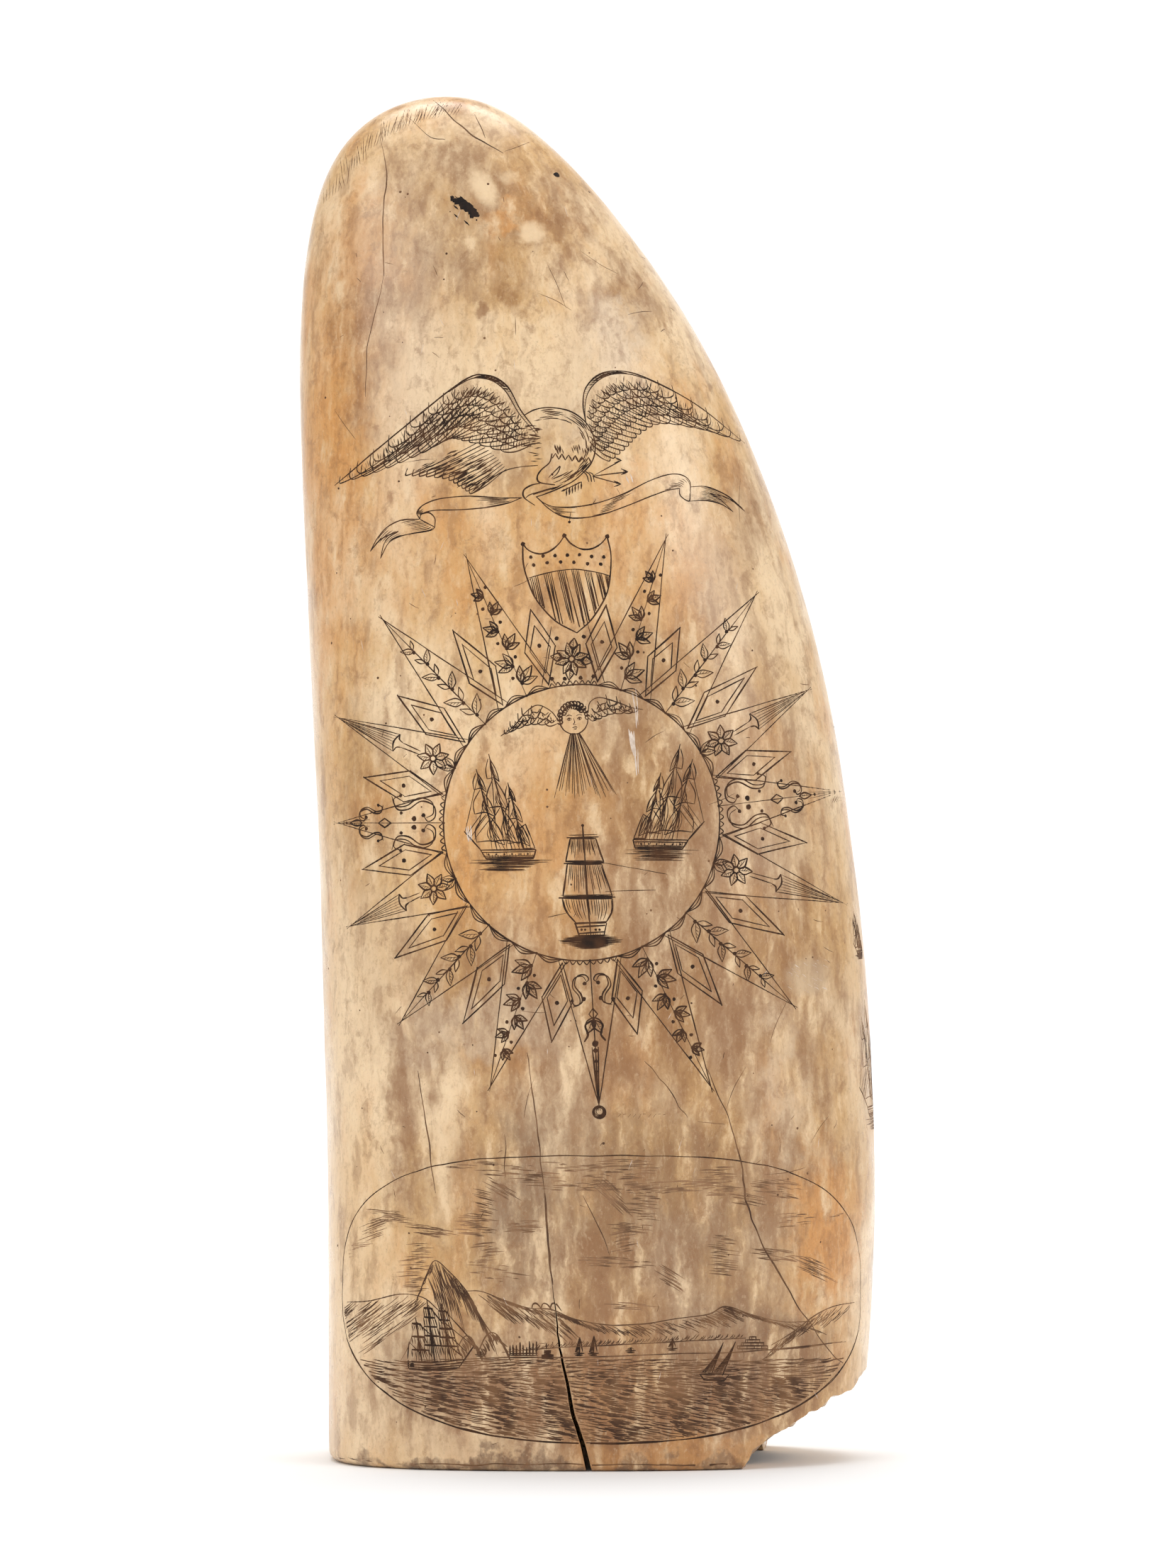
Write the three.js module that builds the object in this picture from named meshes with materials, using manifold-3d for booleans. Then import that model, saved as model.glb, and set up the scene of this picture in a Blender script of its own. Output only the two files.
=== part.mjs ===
// A sperm whale tooth, standing on its sawn root: the blank that a scrimshaw picture is engraved on.
// Millimetres, +Z up. The broad engraved face looks along -Y and the tip leans towards -X.
// The origin is the middle of the box that the tooth stands in, on the plane of the sawn root.
import * as THREE from "three";
import { mergeVertices } from "three/addons/utils/BufferGeometryUtils.js";
import Module from "manifold-3d";

// ---- Driving dimensions ----
const LENGTH = 190; // sawn root to tip
const HALF_BREADTH = 38.3; // half of the broad face, at its widest
const BREADTH_FALL = 3.6; // how late the broad face narrows towards the tip
const BREADTH_ROUND = 0.47; // under a half rounds the tip more bluntly
const HALF_DEPTH = 25; // half of the thickness, front to back, at its widest
const DEPTH_FALL = 3.0; // how late the thickness falls off
const ROOT_CENTRE = 2.2; // X of the middle of the root
const LEAN = 25.7; // how far the tip leans over to -X
const LEAN_BEND = 2.9; // 1 leans straight over, and more curves like a horn
const TIP_RETURN = 3.6; // how much of the lean the last of the blunt tip gives back
const TIP_RETURN_BEND = 30;
const DRAW_IN = 2.4; // how much the +X side draws in at the root
const DRAW_IN_SHARE = 0.2; // over this share of the length
const ROOT_SHRINK = 1.2; // how much thinner, front to back, the root is than the middle
const RIM_BEVEL = 0.8; // worn edge round the sawn root

// Sections are ovals: 2 is an ellipse and more is squarer. The -X side is squarer than the +X side.
const SQUARE_LEFT = [2.9, 2.2]; // at the root and at the tip
const SQUARE_RIGHT = [2.2, 2.0];

const WALL = 8.6; // root wall round the pulp cavity
const CAVITY_HEIGHT = 80;
const CAVITY_TAPER = 1.35; // 1 is a straight cone, and more is fuller

const AROUND = 56; // faces round the tooth
const ALONG = 44; // rings from root to tip
const CAVITY_AROUND = 36;
const CAVITY_ALONG = 13;

// ---- The form of the tooth, by share of its length ----
const drawIn = (t) => DRAW_IN * Math.max(0, 1 - t / DRAW_IN_SHARE) ** 1.3;

const centreX = (t) =>
  ROOT_CENTRE - LEAN * t ** LEAN_BEND + TIP_RETURN * t ** TIP_RETURN_BEND - drawIn(t) / 2;

const halfBreadth = (t) =>
  HALF_BREADTH * Math.max(0, 1 - t ** BREADTH_FALL) ** BREADTH_ROUND - drawIn(t) / 2;

const halfDepth = (t) =>
  (HALF_DEPTH - ROOT_SHRINK * Math.max(0, 1 - 2 * t) ** 2) *
  Math.sqrt(Math.max(0, 1 - t ** DEPTH_FALL));

const mix = ([root, tip], t) => root + (tip - root) * t;

// A turned form is made round first. This carries each of its points to the oval section at its height.
// depthRatio(t) is the section's thickness over its breadth.
function toOval(geometry, depthRatio) {
  const place = geometry.getAttribute("position");
  for (let i = 0; i < place.count; i++) {
    const [x, y, z] = [place.getX(i), place.getY(i), place.getZ(i)];
    const t = THREE.MathUtils.clamp(z / LENGTH, 0, 1);
    const radius = Math.hypot(x, y);
    const angle = Math.atan2(y, x);
    const square = mix(Math.cos(angle) < 0 ? SQUARE_LEFT : SQUARE_RIGHT, t);
    const swell = (part) => Math.sign(part) * Math.abs(part) ** (2 / square);
    const snap = (part) => (Math.abs(part) < 1e-9 ? 0 : part);
    place.setXYZ(
      i,
      centreX(t) + radius * swell(snap(Math.cos(angle))),
      radius * depthRatio(t) * swell(snap(Math.sin(angle))),
      z,
    );
  }
  return geometry;
}

// A round form from a profile of [radius, height] points that starts and ends on the axis.
function turned(profile, segments) {
  const points = profile.map(([radius, height]) => new THREE.Vector2(radius, height));
  return new THREE.LatheGeometry(points, segments).rotateX(Math.PI / 2);
}

function outerForm() {
  const profile = [
    [0, 0],
    [halfBreadth(0) - RIM_BEVEL, 0],
  ];
  for (let i = 0; i < ALONG; i++) {
    // Rings crowd together towards the blunt tip, where the form turns fastest.
    const t = Math.sin((i / ALONG) * (Math.PI / 2)) ** 1.1;
    const height = Math.max(RIM_BEVEL, t * LENGTH);
    profile.push([halfBreadth(height / LENGTH), height]);
  }
  profile.push([0, LENGTH]);
  return toOval(turned(profile, AROUND), (t) => (t < 1 ? halfDepth(t) / halfBreadth(t) : 0.6));
}

// The pulp cavity: a blunt cone that opens at the root. It starts below the root so that it cuts clean through.
function cavityForm() {
  const mouth = halfBreadth(0) - WALL;
  const profile = [
    [0, -2],
    [mouth, -2],
  ];
  for (let i = 0; i < CAVITY_ALONG; i++) {
    const share = i / CAVITY_ALONG;
    profile.push([mouth * (1 - share ** CAVITY_TAPER), share * CAVITY_HEIGHT]);
  }
  profile.push([0, CAVITY_HEIGHT]);
  return toOval(turned(profile, CAVITY_AROUND), () => (halfDepth(0) - WALL) / mouth);
}

// A flat outline in the XZ plane, drawn through the tooth along Y from yFront to yBack.
function throughPlate(outline, yFront, yBack, steps = 1) {
  const shape = new THREE.Shape(outline.map(([x, z]) => new THREE.Vector2(x, z)));
  return new THREE.ExtrudeGeometry(shape, { depth: yBack - yFront, steps, bevelEnabled: false })
    .rotateX(Math.PI / 2)
    .translate(0, yBack, 0);
}

// The corner that has broken off the root at +X: its stepped edge as [x, z], from the root upwards.
const BREAK_EDGE = [
  [20.4, -1],
  [22.4, 2.4],
  [25.2, 4.6],
  [27.8, 5.6],
  [30.2, 7.6],
  [32.6, 8.4],
  [33.6, 9.2],
  [36.6, 10.6],
  [38.4, 12.4],
];
const BREAK_CORNER = 60; // beyond the tooth
const BREAK_SKEW = 4.6; // how much further towards +X the break starts at the back than at the front
const BREAK_SKEW_HEIGHT = 9; // the skew is gone at this height
const BREAK_STEPS = 16;
const BREAK_ROUGHNESS = 0.4;

function breakForm() {
  const foot = [BREAK_EDGE[0][0], -4];
  const outline = [...BREAK_EDGE, [BREAK_CORNER, 15], [BREAK_CORNER, -4], foot];
  const reach = HALF_DEPTH + 6;
  const geometry = throughPlate(outline, -reach, reach, BREAK_STEPS);
  const place = geometry.getAttribute("position");
  for (let i = 0; i < place.count; i++) {
    const [x, y, z] = [place.getX(i), place.getY(i), place.getZ(i)];
    if (x > BREAK_CORNER - 1 || z < -3) continue;
    const low = 1 - THREE.MathUtils.clamp(z / BREAK_SKEW_HEIGHT, 0, 1);
    const skew = BREAK_SKEW * low * THREE.MathUtils.smoothstep(y, -HALF_DEPTH, HALF_DEPTH);
    const rough = BREAK_ROUGHNESS * Math.sin(1.7 * y + 0.9 * x) * Math.cos(0.6 * y);
    place.setXYZ(i, x + skew + rough, y, z + rough / 2);
  }
  return geometry;
}

// The drying crack that runs up the front from the root, as [x, z]. It narrows from its mouth to nothing.
const CRACK_PATH = [
  [0.4, -1],
  [-0.7, 3.7],
  [-2.1, 8],
  [-2.8, 12],
  [-3.9, 17],
  [-4.4, 22],
  [-5.1, 27],
];
const CRACK_MOUTH = 0.8;

function crackForm() {
  const top = CRACK_PATH.length - 1;
  const side = (sign) =>
    CRACK_PATH.slice(0, top).map(([x, z], i) => [x + (sign * CRACK_MOUTH * (1 - i / top)) / 2, z]);
  const outline = [...side(1), CRACK_PATH[top], ...side(-1).reverse()];
  return throughPlate(outline, -HALF_DEPTH - 5, -HALF_DEPTH / 3);
}

// ---- Cutting, with manifold-3d ----
const wasm = await Module();
wasm.setup();

function solid(geometry) {
  const bare = geometry.clone();
  bare.deleteAttribute("normal");
  bare.deleteAttribute("uv");
  const merged = mergeVertices(bare, 1e-4);
  const made = new wasm.Manifold(
    new wasm.Mesh({
      numProp: 3,
      vertProperties: new Float32Array(merged.getAttribute("position").array),
      triVerts: new Uint32Array(merged.index.array),
    }),
  );
  if (made.volume() <= 0) throw new Error("a form is inside out");
  return made;
}

function geometryOf(manifold) {
  const { vertProperties, triVerts } = manifold.getMesh();
  return new THREE.BufferGeometry()
    .setAttribute("position", new THREE.BufferAttribute(vertProperties, 3))
    .setIndex(new THREE.BufferAttribute(triVerts, 1));
}

function toothMesh() {
  const carved = solid(outerForm())
    .subtract(solid(cavityForm()))
    .subtract(solid(breakForm()))
    .subtract(solid(crackForm()));
  const geometry = geometryOf(carved);
  geometry.computeBoundingBox();
  const middle = geometry.boundingBox.getCenter(new THREE.Vector3());
  geometry.translate(-middle.x, -middle.y, -geometry.boundingBox.min.z);
  geometry.computeVertexNormals();
  const dentine = new THREE.MeshStandardMaterial({ color: 0xdcb98c, roughness: 0.38, metalness: 0 });
  const mesh = new THREE.Mesh(geometry, dentine);
  mesh.name = "tooth";
  return mesh;
}

const tooth = new THREE.Group();
tooth.add(toothMesh());

export default tooth;
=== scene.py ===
# %% [markdown]
# # A scrimshaw whale tooth
# A sperm whale tooth stands on its sawn root. A sailor polished it, cut a picture into it with a
# needle, and rubbed lampblack into the cuts. This script builds it in four steps: the tooth's form,
# the ivory's finish, the engraved picture line by line, and the studio around it.

import math
import random

import bpy
from mathutils import Matrix, Vector, noise
from mathutils.bvhtree import BVHTree


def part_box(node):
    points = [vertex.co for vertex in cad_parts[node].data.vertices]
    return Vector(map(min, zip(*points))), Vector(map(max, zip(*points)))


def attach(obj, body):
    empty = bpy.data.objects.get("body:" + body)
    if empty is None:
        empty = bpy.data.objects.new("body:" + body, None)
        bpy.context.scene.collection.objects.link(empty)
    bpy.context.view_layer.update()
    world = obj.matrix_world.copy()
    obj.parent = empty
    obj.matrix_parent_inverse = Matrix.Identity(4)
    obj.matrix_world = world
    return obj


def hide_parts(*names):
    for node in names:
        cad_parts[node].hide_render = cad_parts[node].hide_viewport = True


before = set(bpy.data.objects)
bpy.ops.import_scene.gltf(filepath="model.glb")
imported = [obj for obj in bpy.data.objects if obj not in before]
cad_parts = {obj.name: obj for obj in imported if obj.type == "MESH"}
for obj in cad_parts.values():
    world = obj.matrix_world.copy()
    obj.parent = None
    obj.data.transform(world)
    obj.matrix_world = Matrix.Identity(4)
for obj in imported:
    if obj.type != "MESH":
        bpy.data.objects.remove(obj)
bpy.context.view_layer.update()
MM = 0.001  # sizes below are in millimetres, and Blender works in metres

low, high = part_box("tooth")
LENGTH = (high.z - low.z) / MM
BREADTH = (high.x - low.x) / MM
DEPTH = (high.y - low.y) / MM
print(f"the tooth is {LENGTH:.1f} mm tall, {BREADTH:.1f} mm broad and {DEPTH:.1f} mm thick")

# %% [markdown]
# ## The form of the tooth
# A whale tooth is a horn of dentine: an oval section that swells, leans over and closes to a blunt
# tip. It could be sculpted by eye, or grown from a copy of the frame's own faceted solid. Here it
# starts as a sphere, because a sphere already has rings that close neatly at a pole. Each ring is
# then carried to its own oval, worked out from a few shares of the tooth's size.

# %% The shape of one ring, by its share t of the length
HALF_BREADTH = 0.4764 * BREADTH
HALF_DEPTH = 0.5101 * DEPTH
BREADTH_FALL = 3.6  # how late the broad face narrows towards the tip
BREADTH_ROUND = 0.47  # under a half rounds the tip more bluntly
DEPTH_FALL = 3.0
ROOT_CENTRE = 2.2  # X of the middle of the root
LEAN = 25.7  # how far the tip leans over to -X
LEAN_BEND = 2.9
TIP_RETURN = 3.6  # how much of the lean the last of the tip gives back
TIP_RETURN_BEND = 30
DRAW_IN = 2.4  # how much the +X side draws in at the root
DRAW_IN_SHARE = 0.2
ROOT_SHRINK = 1.2  # how much thinner the root is than the middle, front to back
SQUARE_LEFT = (2.9, 2.2)  # 2 is an ellipse and more is squarer, at the root and at the tip
SQUARE_RIGHT = (2.2, 2.0)
WALL = 8.6  # root wall round the pulp cavity
CAVITY_HEIGHT = 80
CAVITY_TAPER = 1.35


def draw_in(t):
    return DRAW_IN * max(0, 1 - t / DRAW_IN_SHARE) ** 1.3


def centre_x(t):
    lean = LEAN * t**LEAN_BEND - TIP_RETURN * t**TIP_RETURN_BEND
    return ROOT_CENTRE - lean - draw_in(t) / 2


def half_breadth(t):
    return HALF_BREADTH * max(0, 1 - t**BREADTH_FALL) ** BREADTH_ROUND - draw_in(t) / 2


def half_depth(t):
    swell = HALF_DEPTH - ROOT_SHRINK * max(0, 1 - 2 * t) ** 2
    return swell * math.sqrt(max(0, 1 - t**DEPTH_FALL))


def oval_point(angle, t, breadth, depth):
    """The point at this angle round a squarish oval, in millimetres."""
    root, tip = SQUARE_LEFT if math.cos(angle) < 0 else SQUARE_RIGHT
    square = root + (tip - root) * t
    across, through = math.cos(angle), math.sin(angle)
    x = math.copysign(abs(across) ** (2 / square), across) * breadth
    y = math.copysign(abs(through) ** (2 / square), through) * depth
    return Vector((centre_x(t) + x, y, t * LENGTH))


print(f"half way up it is {2 * half_breadth(0.5):.1f} by {2 * half_depth(0.5):.1f} mm")

# %% Start from the upper half of a sphere, and turn its mouth inwards for the pulp cavity
AROUND = 128
RINGS = 120
CAVITY_RINGS = 15
RIM_RINGS = 6  # over the worn edge and the flat of the root wall
RIM_BEVEL = 0.8
STEP_DOWN = 0.01  # each new ring starts this much lower, so that its height says which it is


def deselect_all():
    if bpy.context.object and bpy.context.object.mode != "OBJECT":
        bpy.ops.object.mode_set(mode="OBJECT")
    bpy.ops.object.select_all(action="DESELECT")


deselect_all()
bpy.ops.mesh.primitive_uv_sphere_add(segments=AROUND, ring_count=2 * RINGS, radius=1)
tooth = bpy.context.object
tooth.name = "whale_tooth"
bpy.ops.object.mode_set(mode="EDIT")
bpy.ops.mesh.select_all(action="SELECT")
bpy.ops.mesh.bisect(plane_co=(0, 0, 0), plane_no=(0, 0, 1), clear_inner=True)
bpy.ops.mesh.select_all(action="SELECT")
bpy.ops.mesh.region_to_loop()
for ring in range(RIM_RINGS + CAVITY_RINGS):
    down = (0, 0, -STEP_DOWN)
    bpy.ops.mesh.extrude_region_move(TRANSFORM_OT_translate={"value": down})
bpy.ops.mesh.merge(type="CENTER")
bpy.ops.object.mode_set(mode="OBJECT")
print(f"the start has {len(tooth.data.vertices)} vertices")

# %% Carry every ring to its place
def outer_point(angle, height):
    t = min(1.0, height) ** 1.1  # rings crowd together towards the tip, where the form turns fastest
    place = oval_point(angle, t, half_breadth(t), half_depth(t))
    place.z = max(place.z, RIM_BEVEL)
    return place


def rim_point(angle, share):
    """From the worn edge of the rim, across the flat of the root, to the mouth of the cavity."""
    breadth = half_breadth(0) - RIM_BEVEL - (WALL - RIM_BEVEL) * share
    depth = half_depth(0) - RIM_BEVEL - (WALL - RIM_BEVEL) * share
    return oval_point(angle, 0, breadth, depth)


def cavity_point(angle, share):
    narrow = 1 - share**CAVITY_TAPER
    t = share * CAVITY_HEIGHT / LENGTH
    return oval_point(angle, t, (half_breadth(0) - WALL) * narrow, (half_depth(0) - WALL) * narrow)


for vertex in tooth.data.vertices:
    angle = math.atan2(vertex.co.y, vertex.co.x)
    ring = round(-vertex.co.z / STEP_DOWN)
    if vertex.co.z > -STEP_DOWN / 2:
        place = outer_point(angle, max(0.0, vertex.co.z))
    elif ring <= RIM_RINGS:
        place = rim_point(angle, (ring - 1) / (RIM_RINGS - 1))
    else:
        place = cavity_point(angle, (ring - RIM_RINGS) / CAVITY_RINGS)
    vertex.co = place * MM
print(f"{RINGS} rings outside, {RIM_RINGS} over the rim and {CAVITY_RINGS} up the cavity")

# %% [markdown]
# ## A surface that was polished by hand
# Under the polish a tooth is never quite even: it swells and dips a little, as it grew. A smooth
# modifier can't give that, so the mesh is subdivided and each point is moved a fraction of a
# millimetre along its normal by two sizes of noise. The flat of the root stays flat, because the
# tooth stands on it.

# %% Subdivide, then let the surface wander
WANDER = ((26, 0.22), (7, 0.05))  # size of the swellings, and how far they reach
ROOT_FADE = 4  # the wandering fades out over this much above the root


def apply_modifiers(piece):
    deselect_all()
    bpy.context.view_layer.objects.active = piece
    piece.select_set(True)
    for modifier in list(piece.modifiers):
        bpy.ops.object.modifier_apply(modifier=modifier.name)


finer = tooth.modifiers.new("finer", "SUBSURF")
finer.levels = finer.render_levels = 1
apply_modifiers(tooth)

normals = [vertex.normal.copy() for vertex in tooth.data.vertices]
for vertex, normal in zip(tooth.data.vertices, normals):
    fade = min(1, max(0, vertex.co.z / MM - RIM_BEVEL) / ROOT_FADE)
    for size, reach in WANDER:
        vertex.co += normal * fade * reach * MM * noise.noise(vertex.co / (size * MM))
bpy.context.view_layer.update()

# %% [markdown]
# ## The broken corner and the crack
# One corner of the root has snapped off, and a drying crack runs up the front from the rim. Both
# could be painted, but they show at the outline and from below, so they are cut. A grid is shaped
# into the broken face and given ripples and small steps, then pushed down into a block: what the
# block takes away is the missing corner.

# %% The block that the missing corner filled
BREAK_EDGE = (  # X and Z along the broken edge, from the root upwards
    (20.4, -1), (22.4, 2.4), (25.2, 4.6), (27.8, 5.6), (30.2, 7.6),
    (32.6, 8.4), (33.6, 9.2), (36.6, 10.6), (38.4, 12.4), (46, 19),
)
BREAK_SKEW = 4.6  # how much further towards +X the break starts at the back
BREAK_SKEW_HEIGHT = 9
BREAK_RIPPLE = 0.55
BREAK_GRID = (60, 70)  # faces along the edge and through the tooth
BREAK_REACH = 30  # half the length of the block, front to back


def along(points, share):
    """The point at this share of the way along a path of points."""
    position = share * (len(points) - 1)
    index = min(int(position), len(points) - 2)
    start, end = points[index], points[index + 1]
    part = position - index
    return tuple(a + (b - a) * part for a, b in zip(start, end))


def smooth_step(value):
    value = min(1, max(0, value))
    return value * value * (3 - 2 * value)


def break_point(share_along, share_through):
    x, z = along(BREAK_EDGE, share_along)
    y = (2 * share_through - 1) * BREAK_REACH
    lower = 1 - min(1, max(0, z / BREAK_SKEW_HEIGHT))
    x += BREAK_SKEW * lower * smooth_step(0.5 + y / (2 * HALF_DEPTH))
    ripple = noise.noise((x / 3.1, y / 4.2, z / 2.3)) + 0.5 * noise.noise((x / 1.1, y / 1.6, z))
    return Vector((x - 0.5 * BREAK_RIPPLE * ripple, y, z + BREAK_RIPPLE * ripple))


def grid_block(name, shares, place, push):
    """A grid of faces carried to place(across, through), then pushed out into a closed block."""
    deselect_all()
    across, through = shares
    bpy.ops.mesh.primitive_grid_add(x_subdivisions=across, y_subdivisions=through, size=1)
    block = bpy.context.object
    block.name = name
    for vertex in block.data.vertices:
        vertex.co = place(vertex.co.x + 0.5, vertex.co.y + 0.5) * MM
    bpy.ops.object.mode_set(mode="EDIT")
    bpy.ops.mesh.select_all(action="SELECT")
    move = {"value": [part * MM for part in push]}
    bpy.ops.mesh.extrude_region_move(TRANSFORM_OT_translate=move)
    bpy.ops.mesh.select_all(action="SELECT")
    bpy.ops.mesh.normals_make_consistent(inside=False)
    bpy.ops.object.mode_set(mode="OBJECT")
    return block


missing_corner = grid_block("missing_corner", BREAK_GRID, break_point, push=(4, 0, -26))
print(f"the broken face has {BREAK_GRID[0]} by {BREAK_GRID[1]} faces")

# %% The wedge that the crack opened
CRACK_PATH = ((0.4, -1), (-0.7, 3.7), (-2.1, 8), (-2.8, 12), (-3.9, 17), (-4.4, 22), (-5.1, 27))
CRACK_MOUTH = 0.8


def crack_point(share_across, share_up):
    x, z = along(CRACK_PATH, share_up)
    width = CRACK_MOUTH * (1.02 - share_up)
    wobble = 0.12 * noise.noise((0, 0, z / 1.3))
    return Vector((x + wobble + (share_across - 0.5) * width, -HALF_DEPTH / 3, z))


crack_wedge = grid_block("crack_wedge", (1, 30), crack_point, push=(0, -30, 0))
print(f"the crack gapes {CRACK_MOUTH} mm at the rim and closes {CRACK_PATH[-1][1]} mm up")

# %% Cut both away
def cut_away(piece, cutter):
    cut = piece.modifiers.new("cut", "BOOLEAN")
    cut.operation = "DIFFERENCE"
    cut.solver = "EXACT"
    cut.object = cutter
    apply_modifiers(piece)
    bpy.data.objects.remove(cutter)


cut_away(tooth, missing_corner)
cut_away(tooth, crack_wedge)
deselect_all()
tooth.select_set(True)
bpy.context.view_layer.objects.active = tooth
bpy.ops.object.shade_smooth_by_angle(angle=math.radians(28))
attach(tooth, "root")
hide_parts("tooth")
print(f"the cut tooth has {len(tooth.data.polygons)} faces")

# %% [markdown]
# ## Old ivory
# Polished dentine is cream, and two centuries of oil, smoke and handling have turned it honey and
# grey-brown in clouds and in long streaks that follow the growth of the tooth. One flat colour, or
# one noise, would look like plastic. Here each thing that happened to the tooth is a layer of its
# own: clouds, streaks, pores, and stains in the places where they sit. One more layer is a painted
# highlight, a pale sheen laid on the right shoulder. All layers read Object coordinates, so they stay
# with the tooth.

# %% A short way to add shader nodes
def paint(red, green, blue):
    """A colour as the eye names it, 0 to 255, turned into the light values that shaders use."""
    def light(value):
        value /= 255
        return value / 12.92 if value <= 0.04045 else ((value + 0.055) / 1.055) ** 2.4
    return (light(red), light(green), light(blue), 1)


class Recipe:
    """One material, whose nodes are added by short calls. Each call gives back a socket."""

    def __init__(self, name):
        self.material = bpy.data.materials.new(name)
        self.material.use_nodes = True
        self.nodes = self.material.node_tree.nodes
        self.links = self.material.node_tree.links
        self.shader = self.nodes["Principled BSDF"]
        self.place = self.nodes.new("ShaderNodeTexCoord").outputs["Object"]

    def feed(self, socket, value):
        if isinstance(value, bpy.types.NodeSocket):
            self.links.new(value, socket)
        else:
            socket.default_value = value

    def add(self, kind, output=0, settings=None, **inputs):
        node = self.nodes.new("ShaderNode" + kind)
        for name, value in (settings or {}).items():
            setattr(node, name, value)
        for name, value in inputs.items():
            self.feed(node.inputs[name], value)
        return node.outputs[output]

    def scaled(self, source, scale):
        return self.add("Mapping", Vector=source, Scale=scale)

    def noise(self, source, size, detail=4.0, rough=0.5, output=0):
        """Noise whose clouds are about size millimetres across."""
        return self.add("TexNoise", output, Vector=source, Scale=1 / size, Detail=detail, Roughness=rough)

    def ramp(self, value, low, high, to_low=0.0, to_high=1.0):
        """Carries value from low..high to to_low..to_high, softly."""
        node = self.nodes.new("ShaderNodeMapRange")
        node.interpolation_type = "SMOOTHSTEP"
        for socket, number in zip(node.inputs, (value, low, high, to_low, to_high)):
            self.feed(socket, number)
        return node.outputs[0]

    def math(self, operation, first, second=0.0):
        node = self.nodes.new("ShaderNodeMath")
        node.operation = operation
        self.feed(node.inputs[0], first)
        self.feed(node.inputs[1], second)
        return node.outputs[0]

    def mix(self, share, first, second, how="MIX"):
        node = self.nodes.new("ShaderNodeMix")
        node.data_type = "RGBA"
        node.blend_type = how
        for index, value in ((0, share), (6, first), (7, second)):
            self.feed(node.inputs[index], value)
        return node.outputs[2]


print("an old-ivory cream in light values:", [round(part, 2) for part in paint(236, 209, 172)[:3]])

# %% Name the colours of old ivory
CREAM = paint(235, 206, 166)
BUTTER = paint(210, 168, 112)
HONEY = paint(206, 144, 76)
AMBER = paint(212, 148, 78)
UMBER = paint(136, 90, 48)
DUSK = paint(114, 84, 58)
ASH = paint(186, 158, 126)
BONE = paint(243, 221, 188)
for name, shade_of_ivory in (("palest", BONE), ("darkest", DUSK)):
    print("the", name, "is", [round(part, 2) for part in shade_of_ivory[:3]])
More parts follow.
